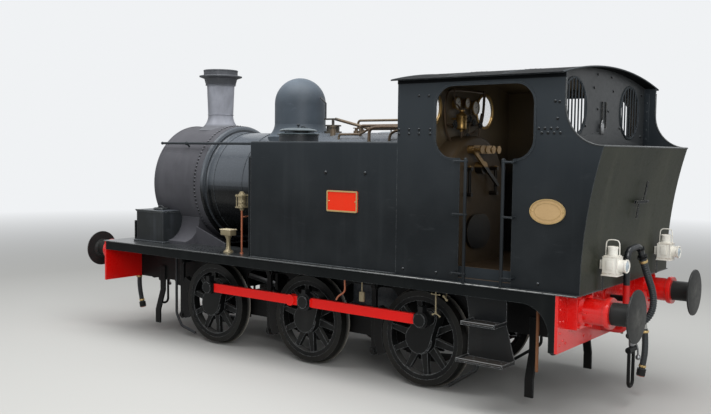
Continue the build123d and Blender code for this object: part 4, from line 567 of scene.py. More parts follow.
def routeCurve(points, steps=24):
    curve = bpy.data.curves.new("route", "CURVE")
    curve.dimensions = "3D"
    spline = curve.splines.new("NURBS")
    spline.points.add(len(points) - 1)
    for control, point in zip(spline.points, points):
        control.co = (*point, 1)
    spline.order_u = 3
    spline.use_endpoint_u = True
    spline.resolution_u = steps
    return curve


def curveMesh(curve):
    holder = bpy.data.objects.new("route", curve)
    mesh = bpy.data.meshes.new_from_object(holder)
    bpy.data.objects.remove(holder)
    return mesh


def tube(bm, points, radius, steps=6):
    # a round rod or pipe that bends smoothly through its points
    curve = routeCurve(points, steps)
    curve.bevel_depth = radius
    curve.bevel_resolution = 2
    curve.use_fill_caps = True
    bm.from_mesh(curveMesh(curve))


def rimPlate(bm, face, rim, depth, matrix, gap=None):
    # a flat outline in its own bmesh becomes a raised rim on a surface
    bmesh.ops.inset_region(face, faces=list(face.faces), thickness=rim, use_boundary=True, use_even_offset=True)
    middle = max(face.faces, key=lambda each: len(each.verts))
    bmesh.ops.delete(face, geom=[middle], context="FACES")
    if gap:
        for cut in gap:
            geom = face.verts[:] + face.edges[:] + face.faces[:]
            bmesh.ops.bisect_plane(face, geom=geom, plane_co=(cut, 0, 0), plane_no=lookX)
        middles = {each: each.calc_center_median() for each in face.faces}
        inGap = [each for each, place in middles.items() if gap[0] < place.x < gap[1] and place.y < 0]
        bmesh.ops.delete(face, geom=inGap, context="FACES")
    bmesh.ops.solidify(face, geom=list(face.faces), thickness=depth)
    bmesh.ops.translate(face, verts=list(face.verts), vec=(0, 0, -min(vert.co.z for vert in face.verts)))
    bmesh.ops.transform(face, matrix=matrix, verts=list(face.verts))
    mesh = bpy.data.meshes.new("rim")
    face.to_mesh(mesh)
    face.free()
    bm.from_mesh(mesh)
    bpy.data.meshes.remove(mesh)


def roundedOblong(width, height, corner):
    face = bmesh.new()
    bmesh.ops.create_grid(face, x_segments=1, y_segments=1, size=0.5, matrix=Matrix.Diagonal((width, height, 1, 1)))
    bmesh.ops.bevel(
        face, geom=list(face.verts), offset=corner, segments=8, profile=0.5, affect="VERTICES", material=-1,
    )
    return face


def disc(width, height):
    face = bmesh.new()
    shape = Matrix.Diagonal((width / 2, height / 2, 1, 1))
    bmesh.ops.create_circle(face, cap_ends=True, segments=48, radius=1, matrix=shape)
    return face


# hoses: the frame's own routes, forward of the beam, across and up
hoses = {
    "vacuum_hose": {
        "route": [
            (0.300, 0.060, 1.500), (0.314, 0.084, 1.420), (0.334, 0.150, 1.290), (0.352, 0.228, 1.160),
            (0.356, 0.272, 1.040), (0.340, 0.270, 0.925), (0.290, 0.232, 0.838), (0.210, 0.180, 0.784),
            (0.130, 0.150, 0.770), (0.070, 0.150, 0.770),
        ],
        "radius": 0.038, "length": 0.985, "rib": 0.024, "depth": 0.008, "farEnd": "object",
    },
    "heating_hose": {
        "route": [
            (0.196, 0.500, 0.700), (0.205, 0.497, 0.625), (0.212, 0.488, 0.535), (0.214, 0.476, 0.445),
            (0.206, 0.464, 0.360), (0.196, 0.456, 0.285),
        ],
        "radius": 0.034, "length": 0.419, "rib": 0.015, "depth": 0.003, "farEnd": "fitting",
    },
}


def atEnd(end, point):
    # a point given forward of a beam's face, across and up
    place, facing = ends[end]
    return Vector((place + facing * point[0], facing * point[1], point[2]))


def evenSteps(path, step):
    # the same line at even steps, with its direction at each
    lengths = [0]
    for before, after in zip(path, path[1:]):
        lengths.append(lengths[-1] + (after - before).length)
    count = round(lengths[-1] / step)
    places = []
    piece = 0
    for index in range(count + 1):
        wanted = lengths[-1] * index / count
        while piece < len(path) - 2 and lengths[piece + 1] < wanted:
            piece += 1
        before, after = path[piece], path[piece + 1]
        share = (wanted - lengths[piece]) / max(lengths[piece + 1] - lengths[piece], 1e-9)
        places.append((before.lerp(after, share), (after - before).normalized()))
    return places


def makeClip(name, place, along, radius, width):
    # a worm drive clip: a band with rolled edges and its screw housing
    half = width / 2
    bm = bmesh.new()
    band = [(radius - 0.002, -half), (radius + 0.002, -half), (radius + 0.003, -half + 0.002)]
    band += [(size, -level) for size, level in reversed(band)]
    lathe(bm, band, ringFrame(place, along), 40)
    block(bm, (radius, -0.013, -half), (radius + 0.014, 0.013, half), 0.002, ringFrame(place, along))
    return addPiece(name, bm, "brass")


def makeHose(name, end, route, radius, length, rib, depth, farEnd):
    points = [atEnd(end, point) for point in route]
    path = [vertex.co.copy() for vertex in curveMesh(routeCurve(points)).vertices]
    for where, index in (("top", 6), ("foot", len(path) - 7)):
        along = (path[index + 1] - path[index - 1]).normalized()
        makeClip(name + "_" + where + "_clip", path[index], along, radius + 0.001, 0.024)
    bm = bmesh.new()
    loops = []
    for index, (place, along) in enumerate(evenSteps(path, rib / 4)):
        size = radius - depth * (0, 0.5, 1, 0.5)[index % 4]
        loops.append(bmesh.ops.create_circle(
            bm, cap_ends=False, radius=size, segments=20, matrix=ringFrame(place, along)
        )["verts"])
    bmesh.ops.bridge_loops(bm, edges=list(bm.edges))
    for loop in (loops[0], loops[-1]):
        bmesh.ops.contextual_create(bm, geom=loop)
    hose = addPiece(name + "_ribbed", bm, "rubber", merge=0)
    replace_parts(hose, name)


print("making hoses")
for end in ends:
    for kind, look in hoses.items():
        makeHose(end + "_" + kind, end, **look)

# smokebox: the rivets of its rear ring, the bolts of its front, the rolled edge at its front and the angle ring at
# its rear
smokeTrim = {
    "rivets": 100, "rivetSize": 0.0165, "ringPlace": smokeRear + 0.105, "lowest": -0.72, "bolts": 20,
    "boltRing": 0.735,
    "shoulder": [(0.786, 0), (0.785, 0.010), (0.776, 0.021), (0.758, 0.029), (0.737, 0.034), (0.716, 0.038),
                 (0.703, 0.044), (0.697, 0.056)],
}


def makeSmokeboxTrim(rivets, rivetSize, ringPlace, lowest, bolts, boltRing, shoulder):
    bm = bmesh.new()
    for index in range(rivets):
        away = around(index, rivets)
        if away.z > lowest:
            rivet(bm, Vector((ringPlace, 0, boilerHeight)) + away * smokeRadius, away, rivetSize, 0.9)
    addPiece("smokebox_rivets", bm, "sootRivets")
    bm = bmesh.new()
    for index in range(bolts):
        away = around(index + 0.5, bolts)
        if abs(away.y) < 0.9:
            bolt(bm, Vector((smokeFront, 0, boilerHeight)) + away * boltRing, lookX)
    addPiece("smokebox_front_bolts", bm, "sootRivets")
    bm = bmesh.new()
    edge = [(-0.004, -0.014), (0.004, -0.012), (0.006, 0), (0.004, 0.012), (-0.004, 0.014)]
    edge = [(smokeRadius + out, along) for out, along in edge]
    lathe(bm, edge, ringFrame((smokeFront - 0.015, 0, boilerHeight), lookX), 96)
    addPiece("smokebox_edge_ring", bm, "smokePaint")
    bm = bmesh.new()
    lathe(bm, shoulder, ringFrame((smokeRear, 0, boilerHeight), (-1, 0, 0)), 96)
    addPiece("smokebox_rear_angle", bm, "cladPaint")


doorTrim = {
    "ring": [(0.500, 0.014), (0.502, 0.024), (0.512, 0.028), (0.524, 0.020), (0.530, 0.010)],
    "nut": [(0.0, 0.012), (0.012, 0.010), (0.020, 0.0), (0.020, -0.012), (0.0, -0.012)],
}


def makeDoorTrim(ring, nut):
    for name, profile, forward, segments, finished in (
        ("smokebox_door_bead", ring, 0.006, 96, "smokePaint"), ("smokebox_dart_cap", nut, 0.232, 24, "steel"),
    ):
        bm = bmesh.new()
        lathe(bm, profile, ringFrame((smokeFront + forward, 0, boilerHeight), lookX), segments)
        addPiece(name, bm, finished, "smokebox_door")


chimneyTrim = {
    "beads": [(3.008, 0.1755, 0.006), (3.420, 0.2085, 0.005)],
    "lip": [(0.2, 3.6275), (0.236, 3.6275), (0.2395, 3.622), (0.2395, 3.612), (0.2345, 3.606)],
}


def makeChimneyTrim(beads, lip):
    bm = bmesh.new()
    for height, radius, size in beads:
        bead = [(-1, -1), (0, -0.9), (1, 0), (0, 0.9), (-1, 1)]
        lathe(bm, [(radius + size * out, size * up) for out, up in bead], at(chimneyX, 0, height), 64)
    addPiece("chimney_beads", bm, "chimneyPaint")
    bm = bmesh.new()
    lathe(bm, lip, at(chimneyX, 0, 0), 64)
    addPiece("chimney_lip", bm, "chimneyPaint")


# tanks: their bolts and foot beads, the bolts of the plate below, and the covers and levers of the lids
tankTrim = {
    "bolts": [(-0.565, 2.291), (-1.103, 2.294)],
    "plateBolts": [-0.083 - 0.3135 * step for step in range(-3, 5)],
    "filler": (rear + 3.4, 0.93, 2.703),
    "dome": [(0.222, 0.0), (0.219, 0.012), (0.190, 0.027), (0.120, 0.039), (0.0, 0.044)],
    "knob": [(0.012, 0.040), (0.009, 0.050), (0.009, 0.062), (0.019, 0.068), (0.022, 0.078), (0.015, 0.088),
             (0.0, 0.090)],
    "lever": [(-0.040, 0.080), (-0.055, 0.112), (-0.150, 0.068), (-0.165, 0.046)],
}


def makeTankTrim(bolts, plateBolts, filler, dome, knob, lever):
    foot = plateTop + 0.006
    x, across, base = filler
    for side, facing in sides.items():
        bm = bmesh.new()
        for along, z in bolts:
            rivet(bm, (along, facing * sideFace, z), (0, facing, 0), 0.021, 0.8)
        addPiece(side + "_tank_bolts", bm, "rivetPaint")
        bm = bmesh.new()
        y = facing * (sideFace + 0.001)
        tube(bm, [(cabFront + 0.01, y, foot), (tankFront, y, foot)], 0.007)
        y = facing * (sideFace - 0.006)
        tube(bm, [(tankFront, y, foot), (tankFront, y, tankTop - 0.03)], 0.006)
        addPiece(side + "_tank_foot_bead", bm, "footplatePaint")
        bm = bmesh.new()
        for along in plateBolts:
            bolt(bm, (along, facing * 1.238, plateTop), (0, 0, 1), 0.014, 0.009)
        addPiece(side + "_plate_bolts", bm, "valancePaint")
        bm = bmesh.new()
        place = at(x, facing * across, base + 0.042)
        lathe(bm, dome, place, 48)
        addPiece(side + "_filler_dome", bm, "lidPaint", side + "_filler_lid")
        # a lifting knob, a raised lever and a wing nut on the rim
        bm = bmesh.new()
        lathe(bm, knob, place, 20)
        tube(bm, [(x + along, facing * across, base + rise) for along, rise in lever], 0.009)
        y = facing * (across + 0.215)
        tube(bm, [(x, y, base), (x, y, base + 0.052)], 0.009)
        tube(bm, [(x - 0.030, y, base + 0.050), (x + 0.030, y, base + 0.050)], 0.006)
        for along in (-0.034, 0.034):
            rivet(bm, (x + along, y, base + 0.050), (0, 0, 1), 0.010, 1)
        addPiece(side + "_filler_handle", bm, "blackPaint", side + "_filler_lid")


# cab sheets: rivets, the bead round each window, and the bead down the cutaway to the bunker's lip
cabTrim = {
    "rivets": [
        (-1.765, 3.084), (-1.883, 3.080), (-1.529, 2.750), (-1.529, 2.706), (-1.651, 2.751), (-1.651, 2.706),
        (-1.772, 2.751), (-1.772, 2.706), (-1.902, 2.750), (-1.902, 2.705), (-3.070, 2.752), (-3.130, 2.752),
        (-3.190, 2.752), (-3.250, 2.752), (-3.100, 2.712), (-3.160, 2.712), (-3.220, 2.712), (-3.280, 2.712),
        (-3.225, 2.996), (-3.265, 2.990), (-3.250, 2.840), (-1.600, 1.330), (-2.000, 1.330), (-3.100, 1.330),
    ],
    "rivetSize": 0.015, "rim": 0.020, "depth": 0.006, "bead": 0.009, "cutaway": 0.36, "lip": (rear - 0.358, 2.600),
}


def makeCabTrim(rivets, rivetSize, rim, depth, bead, cutaway, lip):
    middle, size = window["middle"], window["size"]
    top = bunkerLip + cutaway
    for side, facing in sides.items():
        bm = bmesh.new()
        for x, z in rivets:
            rivet(bm, (x, facing * sideFace, z), (0, facing, 0), rivetSize, 0.7)
        addPiece(side + "_cab_rivets", bm, "rivetPaint")
        bm = bmesh.new()
        for face, along in ((sideFace, facing), (sideFace - sheet, -facing)):
            gap = sorted(-along * (x - middle[0]) for x in doorway)
            outline = roundedOblong(size[0] + 2 * rim, size[1] + 2 * rim, window["corner"] + rim)
            rimPlate(bm, outline, rim, depth, ringFrame((middle[0], facing * face, middle[1]), (0, along, 0)), gap)
        addPiece(side + "_cab_window_rim", bm, "blackPaint")
        bm = bmesh.new()
        y = facing * (sideFace - 0.004)
        ring = bmesh.ops.create_circle(bm, cap_ends=False, segments=10, radius=bead, matrix=at(rear, y, top))
        bmesh.ops.spin(
            bm, geom=ring["verts"] + list(bm.edges), cent=(rear - cutaway, y, top), axis=lookY,
            angle=math.pi / 2, steps=14,
        )
        tube(bm, [(rear, y, top), (rear, y, 3.20)], bead)
        addPiece(side + "_cab_edge_bead", bm, "footplatePaint", merge=0)
    bm = bmesh.new()
    x, z = lip
    tube(bm, [(x, -sideFace, z), (x, sideFace, z)], bead)
    addPiece("bunker_lip_bead", bm, "footplatePaint")


# rear sheet: bolts, window rims, the lock, an arm of the lamp iron below and the corner angles
rearTrim = {
    "bolts": [(0.255, 3.179), (-0.254, 3.173), (0.151, 2.974), (-0.124, 2.963), (0.172, 3.315), (-0.196, 3.312),
              (0.45, 2.80), (-0.45, 2.80), (1.08, 2.72), (-1.08, 2.72), (1.08, 3.18), (-1.08, 3.18)],
    "rim": 0.022, "lock": (0.085, 2.775), "arm": ((-3.6196, -0.205, 2.047), (-3.6056, -0.112, 2.073)),
    "angle": (1.182, 1.189, 2.62, 3.20),
}


def makeRearTrim(bolts, rim, lock, arm, angle):
    bm = bmesh.new()
    for y, z in bolts:
        bolt(bm, (rearSheet, y, z), (-1, 0, 0), 0.014, 0.010)
    addPiece("rear_sheet_bolts", bm, "rivetPaint")
    bm = bmesh.new()
    across, height, radius = rearWindow
    profile = [(-0.002, 0), (0, 0.010), (0.008, 0.014), (rim, 0.010), (rim + 0.002, 0)]
    profile = [(radius + out, along) for out, along in profile]
    for side in sides.values():
        lathe(bm, profile, ringFrame((rearSheet, side * across, height), (-1, 0, 0)), 64)
    addPiece("rear_window_rims", bm, "blackPaint")
    bm = bmesh.new()
    y, z = lock
    x = rearSheet - 0.028
    block(bm, (rearSheet - 0.034, y - 0.032, z - 0.052), (rearSheet - 0.013, y + 0.032, z + 0.052), 0.006)
    tube(bm, [(x, y + along, z + rise) for along, rise in ((-0.022, 0.045), (-0.02, 0.085), (0.02, 0.085),
                                                           (0.022, 0.045))],
         0.006)
    addPiece("rear_sheet_lock", bm, "steel")
    bm = bmesh.new()
    block(bm, *arm, 0.004)
    addPiece("lamp_iron_arm", bm, "ironPaint")
    inner, outer, foot, top = angle
    for side, facing in sides.items():
        bm = bmesh.new()
        low, high = sorted((facing * inner, facing * outer))
        block(bm, (rearSheet - 0.060, low, foot), (rearSheet, high, top), 0.002)
        for level in (2.70, 2.80, 2.90, 3.00, 3.10):
            bolt(bm, (rearSheet - 0.030, facing * inner, level), (0, -facing, 0), 0.010, 0.008)
        addPiece(side + "_rear_sheet_angle", bm, "blackPaint")


roofTrim = {"half": 1.285, "centre": 3.385, "eaves": 3.250, "reach": 1.272, "seams": (rear + 0.6, rear + 1.2)}


def makeRoofTrim(half, centre, eaves, reach, seams):
    rise = centre - eaves
    radius = (half**2 + rise**2) / (2 * rise)
    inside = [reach * step / 12 for step in range(-12, 13)]
    arch = [(y, centre - radius + math.sqrt(radius**2 - y**2)) for y in inside]
    bm = bmesh.new()
    for x in (rear + 0.004, cabFront + 0.030):
        tube(bm, [(x, y, z - 0.004) for y, z in arch], 0.008, 2)
    for x in seams:
        tube(bm, [(x, y, z - 0.003) for y, z in arch], 0.006, 2)
    addPiece("roof_edge_and_seams", bm, "blackPaint")
    bm = bmesh.new()
    for x in seams:
        for y, z in arch[1:-1]:
            for away in (-0.028, 0.028):
                rivet(bm, (x + away, y, z), (0, 0, 1), 0.008)
    addPiece("roof_rivets", bm, "blackPaint")


# spectacle windows in the cab's front sheet
spectacles = {"rim": 0.020, "glass": 0.004}


def makeSpectacles(rim, glass):
    bm = bmesh.new()
    panes = bmesh.new()
    across, height, radius = frontWindow
    profile = [(-0.012, 0), (-0.012, 0.008), (0, 0.012), (rim, 0.008), (rim, 0)]
    profile = [(radius + out, along) for out, along in profile]
    for side in sides.values():
        for face, along in ((cabFront, 1), (cabFront - sheet, -1)):
            lathe(bm, profile, ringFrame((face, side * across, height), (along, 0, 0)), 48)
        bmesh.ops.create_cone(
            panes, cap_ends=True, segments=48, radius1=radius - 0.001, radius2=radius - 0.001, depth=glass,
            matrix=ringFrame((cabFront - sheet / 2, side * across, height), lookX),
        )
    addPiece("spectacle_rims", bm, "fittingBrass")
    addPiece("spectacle_glass", panes, "clearGlass")


# inside the cab: gauges, a displacement lubricator, valves and their pipes on the front sheet
cabFace = cabFront - sheet
cabFittings = {
    "dials": [(0.10, 3.075, 0.075), (-0.11, 3.085, 0.062), (-0.30, 3.04, 0.085)],
    "pipes": [
        (0.011, [(0.12, 2.60), (0.10, 2.72), (0.02, 2.80), (0.02, 2.95), (0.10, 3.0)], 0.10),
        (0.010, [(-0.06, 2.60), (-0.07, 2.80), (-0.11, 2.95), (-0.11, 3.02)], 0.09),
        (0.014, [(0.19, 2.60), (0.30, 2.68), (0.38, 2.80), (0.38, 3.18), (0.20, 3.22), (-0.5, 3.22)], 0.05),
        (0.012, [(-0.19, 2.60), (-0.26, 2.74), (-0.26, 2.90), (-0.30, 2.97)], 0.12),
        (0.016, [(0.06, 2.60), (0.06, 2.68), (-0.20, 2.74), (-0.44, 2.86), (-0.44, 3.24)], 0.07),
        (0.009, [(0.15, 2.76), (0.16, 2.66), (0.28, 2.60), (0.31, 2.45)], 0.13),
        (0.009, [(0.15, 2.97), (0.20, 3.05), (0.30, 3.05), (0.30, 3.22)], 0.11),
    ],
    "wheels": [(-0.02, 2.905, 0.034), (-0.11, 2.865, 0.030), (0.30, 2.83, 0.036), (-0.26, 2.84, 0.034),
               (0.02, 2.70, 0.034)],
    "hub": [(0.0, -0.010), (0.012, -0.010), (0.014, 0.0), (0.010, 0.010), (0.0, 0.012)],
    "lubricator": (0.150, 2.780),
    "body": [(0.0, -0.030), (0.016, -0.026), (0.020, -0.004), (0.052, 0.0), (0.060, 0.010), (0.058, 0.020),
             (0.058, 0.145),
             (0.062, 0.152), (0.056, 0.166), (0.026, 0.182), (0.018, 0.196), (0.030, 0.200), (0.030, 0.214),
             (0.0, 0.220)],
}


def makeCabFittings(dials, pipes, wheels, hub, lubricator, body):
    bm = bmesh.new()
    faces = bmesh.new()
    marks = bmesh.new()
    for y, z, radius in dials:
        place = ringFrame((cabFace, y, z), (-1, 0, 0))
        case = [(0.0, 0.0), (0.85, 0.0), (0.85, 0.030), (1, 0.034), (1, 0.046), (0.86, 0.050), (0.84, 0.043)]
        lathe(bm, [(radius * out, along) for out, along in case], place, 32)
        lathe(faces, [(0.0, 0.040), (radius * 0.86, 0.040)], place, 32)
        for step in range(11):
            turn = Matrix.Rotation(math.radians(-135 + 27 * step), 4, "Z")
            shape = place @ turn @ at(0, radius * 0.68, 0.0412)
            block(marks, (-0.0012, -0.006, -0.0008), (0.0012, 0.006, 0.0008), 0.0003, shape)
        shape = place @ Matrix.Rotation(math.radians(-60), 4, "Z") @ at(0, radius * 0.22, 0.0425)
        block(marks, (-0.0018, -radius * 0.3, -0.0008), (0.0018, radius * 0.34, 0.0008), 0.0004, shape)
    addPiece("gauge_cases", bm, "fittingBrass")
    addPiece("gauge_faces", faces, "enamel")
    addPiece("gauge_needles", marks, "underPaint")
    bm = bmesh.new()
    for radius, route, away in pipes:
        tube(bm, [(cabFace - away, y, z) for y, z in route], radius, 8)
    for y, z, radius in wheels:
        tube(bm, [(cabFace, y, z), (cabFace - 0.13, y, z)], 0.010)
    addPiece("cab_pipes", bm, "hotMetal")
    bm = bmesh.new()
    for y, z, radius in wheels:
        place = ringFrame((cabFace - 0.13, y, z), (-1, 0, 0))
        rim = [(-0.006, 0.0), (-0.003, -0.006), (0.004, -0.006), (0.007, 0.0), (0.004, 0.006), (-0.003, 0.006),
               (-0.006, 0.0)]
        lathe(bm, [(radius + out, along) for out, along in rim], place, 20)
        lathe(bm, hub, place, 16)
        for spoke in range(3):
            turn = Matrix.Rotation(math.pi * spoke / 3, 4, "Z")
            block(bm, (-radius, -0.004, -0.003), (radius, 0.004, 0.003), 0.001, place @ turn)
    addPiece("valve_wheels", bm, "underPaint")
    bm = bmesh.new()
    y, z = lubricator
    lathe(bm, body, at(cabFace - 0.12, y, z), 32)
    for level in (0.03, 0.12):
        tube(bm, [(cabFace, y, z + level), (cabFace - 0.08, y, z + level)], 0.011)
    addPiece("sight_feed_lubricator", bm, "fittingBrass")


# plates: raised rims and their screws, with the fields left bare
plateTrim = {
    "oblong": (rear + 2.522, 1.986), "oblongSize": (0.420, 0.230, 0.018),
    "oval": (rear + 0.147, 2.001), "ovalSize": (0.346, 0.230), "lineSize": (0.262, 0.158),
}


def makePlateTrim(oblong, oblongSize, oval, ovalSize, lineSize):
    for side, facing in sides.items():
        bm = bmesh.new()
        face, along = facing * (sideFace + 0.012), (0, facing, 0)
        places = [(x, face, z) for x, z in (oblong, oval)]
        rimPlate(bm, roundedOblong(*oblongSize), 0.016, 0.006, ringFrame(places[0], along))
        rimPlate(bm, disc(*ovalSize), 0.009, 0.006, ringFrame(places[1], along))
        rimPlate(bm, disc(*lineSize), 0.004, 0.003, ringFrame(places[1], along))
        for (x, y, z), away, size in ((places[1], 0.150, 0.008), (places[0], 0.180, 0.009)):
            for each in (-away, away):
                rivet(bm, (x + each, y, z), along, size)
        addPiece(side + "_plate_rims", bm, "brass")


# buffer beams: rivets, bolts round the packing, gussets, and a collar and rim on each buffer
beamTrim = {
    "rivets": [(1.190, 0.790), (1.190, 0.900), (1.190, 1.010), (1.190, 1.120), (1.190, 1.210), (1.125, 0.825),
               (1.125, 1.004),
               (1.050, 1.210), (1.060, 0.790), (0.640, 0.790), (0.467, 0.761), (0.467, 0.860), (0.560, 1.190),
               (0.400, 1.190),
               (0.315, 1.131), (0.315, 0.960)],
    "packing": 0.135, "packingFace": 0.095,
    "collar": [(0.137, -0.022), (0.145, -0.018), (0.147, 0), (0.145, 0.018), (0.137, 0.022)],
    "rim": [(0.236, -0.004), (0.2425, -0.003), (0.2435, 0.003), (0.2415, 0.009), (0.234, 0.012)],
}


def makeBeamTrim(rivets, packing, packingFace, collar, rim):
    for end, (place, facing) in ends.items():
        bm = bmesh.new()
        for side in sides.values():
            for y, z in rivets:
                rivet(bm, (place, side * y, z), (facing, 0, 0), 0.015, 0.7)
            face = place + facing * packingFace
            for dy in (-packing, packing):
                for dz in (-packing, packing):
                    bolt(bm, (face, side * bufferCentre + dy, bufferHeight + dz), (facing, 0, 0), 0.019, 0.022)
            for turn in range(4):  # gussets from the flange to the barrel
                spin = at(face, side * bufferCentre, bufferHeight) @ quarter(turn, "X")
                low, high = sorted((0.0, facing * 0.075))
                block(bm, (low, -0.008, 0.110), (high, 0.008, 0.150), 0.006, spin)
        addPiece(end + "_beam_rivets", bm, "redPaint")
        for name, profile, forward, segments, finished in (
            ("_buffer_collars", collar, 0.340, 48, "redPaint"), ("_buffer_rims", rim, 0.575, 64, "discSteel"),
        ):
            bm = bmesh.new()
            for side in sides.values():
                matrix = ringFrame((place + facing * forward, side * bufferCentre, bufferHeight), (facing, 0, 0))
                lathe(bm, profile, matrix, segments)
            addPiece(end + name, bm, finished)


# couplings' screws and weights, nuts of the swan necks and gaskets of the heating hoses
pipeTrim = {
    "threads": 7, "pitch": 0.0115, "screwFoot": 0.615, "hang": 0.238, "aside": 0.03,
    "neck": [(0.300, 0.060, 1.500), (0.314, 0.084, 1.420)],
    "nuts": [
        [(0.034, -0.020), (0.044, -0.018), (0.047, -0.012), (0.047, 0.010), (0.043, 0.016), (0.034, 0.018)],
        [(0.030, -0.10), (0.040, -0.098), (0.042, -0.085), (0.040, -0.072), (0.030, -0.070)],
    ],
    "foot": [(0.206, 0.464, 0.360), (0.196, 0.456, 0.285)],
    "gasket": [(0.030, 0.072), (0.040, 0.070), (0.043, 0.076), (0.040, 0.084), (0.026, 0.084), (0.026, 0.076)],
}


def makeCouplingTrim(threads, pitch, screwFoot, hang, aside, neck, nuts, foot, gasket):
    for end, (place, facing) in ends.items():
        bm = bmesh.new()
        x = place + facing * hang
        away = x + facing * aside
        profile = []
        for thread in range(threads):
            level = screwFoot + pitch * thread
            profile += [(0.024, level), (0.029, level + 0.004), (0.029, level + 0.007), (0.024, level + 0.011)]
        lathe(bm, profile, at(x, 0, 0), 20)
        tube(bm, [(x, -0.04, 0.655), (away, -0.10, 0.640), (away, -0.12, 0.50)], 0.010)
        ball(bm, 0.028, at(away, -0.12, 0.48))
        addPiece(end + "_coupling_screw", bm, "steel")
        bm = bmesh.new()
        above, below = (atEnd(end, point) for point in neck)
        along = (below - above).normalized()
        shape = ringFrame(above - along * 0.012, along)
        for nut in nuts:
            lathe(bm, nut, shape, 24)
        for turn in range(4):
            about = shape @ quarter(turn) @ at(0.047, 0, -0.001)
            block(bm, (-0.004, -0.008, -0.009), (0.012, 0.008, 0.009), 0.002, about)
        addPiece(end + "_neck_nut", bm, "underPaint")
        bm = bmesh.new()
        above, below = (atEnd(end, point) for point in foot)
        along = (below - above).normalized()
        lathe(bm, gasket, ringFrame(below - along * 0.006, along), 24)
        addPiece(end + "_heating_gasket", bm, "gasketRed")


# lamps: the case with its seams, chimney and hinge, the lens barrel, and a wide wire handle that runs fore and aft
lampLook = {
    "x": rear - 0.303, "across": 0.76, "base": 1.414, "half": 0.071, "top": 1.602, "lens": 1.510,
    "chimney": [(0.055, 0.0), (0.055, 0.002), (0.047, 0.008), (0.047, 0.062), (0.051, 0.066), (0.050, 0.080),
                (0.046, 0.082),
                (0.044, 0.068), (0.022, 0.068), (0.0, 0.064)],
    "barrel": [(0.060, 0.0), (0.058, 0.008), (0.056, 0.050), (0.064, 0.056), (0.064, 0.070), (0.058, 0.074),
               (0.050, 0.066)],
    "pane": [(0.0, 0.080), (0.022, 0.0775), (0.040, 0.071), (0.051, 0.064)],
    "handle": [(-0.065, -0.006), (-0.065, 0.102), (-0.055, 0.132), (-0.028, 0.143), (0.028, 0.143), (0.055, 0.132),
               (0.065, 0.102), (0.065, -0.006)],
}


def makeLamps(x, across, base, half, top, lens, chimney, barrel, pane, handle):
    bm = bmesh.new()
    panes = bmesh.new()
    for side in sides.values():
        y = side * across
        for low, high, wide in (
            (base, base + 0.012, half + 0.008), (base + 0.010, top - 0.010, half),
            (base + 0.020, base + 0.027, half + 0.003),
            (top - 0.018, top - 0.011, half + 0.003), (top - 0.012, top, half - 0.008),
        ):
            block(bm, (x - wide, y - wide, low), (x + wide, y + wide, high), 0.004)
        lathe(bm, chimney, at(x, y, top), 40)
        outward = ringFrame((x - half, y, lens), (-1, 0, 0))
        lathe(bm, barrel, outward, 40)
        lathe(panes, pane, outward, 40)
        block(bm, (x - 0.032, y + half - 0.002, base + 0.060), (x + 0.032, y + half + 0.012, base + 0.150), 0.004)
        block(bm, (x + half - 0.002, y - 0.030, base + 0.055), (x + half + 0.040, y + 0.030, base + 0.140), 0.004)
        tube(bm, [(x - half + 0.006, y + half, base + 0.03), (x - half + 0.006, y + half, top - 0.02)], 0.005)
        tube(bm, [(x + along, y, top + rise) for along, rise in handle], 0.0055)
        for turn in range(8):
            spin = Matrix.Rotation(turn * math.pi / 4, 4, "Z")
            rivet(bm, at(x, y, top + 0.048) @ spin @ Vector((0.047, 0, 0)), spin @ Vector(lookX), 0.005, 0.5)
    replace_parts(addPiece("lamp_cases", bm, "enamel"), "lamps")
    addPiece("lamp_lenses", panes, "glass")


# steps' worn lips, rivets of the treads and bolts above them
stepTrim = {
    "treads": [(rear + 0.640, rear + 1.010, 0.858), (rear + 0.545, rear + 1.060, 0.486)],
    "bolts": (rear + 0.70, rear + 0.875, rear + 1.05), "reach": 1.236, "lip": 0.035,
}


def makeStepTrim(treads, bolts, reach, lip):
    for side, facing in sides.items():
        bm = bmesh.new()
        rivets = bmesh.new()
        y = facing * reach
        for low, high, level in treads:
            edge = level + lip
            tube(bm, [(low + 0.004, y, edge), (high - 0.004, y, edge)], 0.0045)
            for x in (low + 0.006, high - 0.006):
                tube(bm, [(x, facing * 1.010, edge), (x, y, edge)], 0.004)
            for along in (0.2, 0.5, 0.8):
                rivet(rivets, (low + (high - low) * along, facing * 1.06, level + 0.012), (0, 0, 1), 0.012)
        for x in bolts:
            bolt(rivets, (x, facing * 0.985, 1.215), (0, facing, 0))
        addPiece(side + "_step_lips", bm, "steel")
        addPiece(side + "_step_rivets", rivets, "footplatePaint")


# handrails: the knobs of their brackets, and the feet and caps of the doorway's pillars
railTrim = {
    "brackets": [(smokeFront - 0.517, 0.026), (smokeFront - 0.024, 0.021)],
    "pillars": (rear + 0.570, rear + 0.972), "across": 1.266, "levels": (1.356, 1.930, 2.444),
    "foot": [(0.018, 0.012), (0.034, 0.010), (0.036, 0.0), (0.018, 0.0)],
    "cap": [(0.0, 0.010), (0.012, 0.008), (0.018, 0.0), (0.016, -0.008)],
}


def makeRailTrim(brackets, pillars, across, levels, foot, cap):
    bm = bmesh.new()
    for side in sides.values():
        for x, size in brackets:
            ball(bm, size, at(x, side * railY, railHeight))
        for x in pillars:
            for level in levels:
                ball(bm, 0.022, at(x, side * (across - 0.004), level), 14, 8)
            lathe(bm, foot, at(x, side * 1.24, plateTop), 16)
            lathe(bm, cap, at(x, side * (across - 0.002), 2.468), 16)
    addPiece("handrail_knobs", bm, "blackPaint")


sandTrim = {
    "x": rear + 6.005, "across": 0.8, "top": 1.698, "half": (0.284, 0.205),
    "lid": [(0.0, 0.034), (0.080, 0.032), (0.092, 0.027), (0.100, 0.022), (0.101, 0.012), (0.096, 0.008)],
    "handle": [(-0.05, 1.728), (-0.045, 1.752), (0.045, 1.752), (0.05, 1.728)],
}


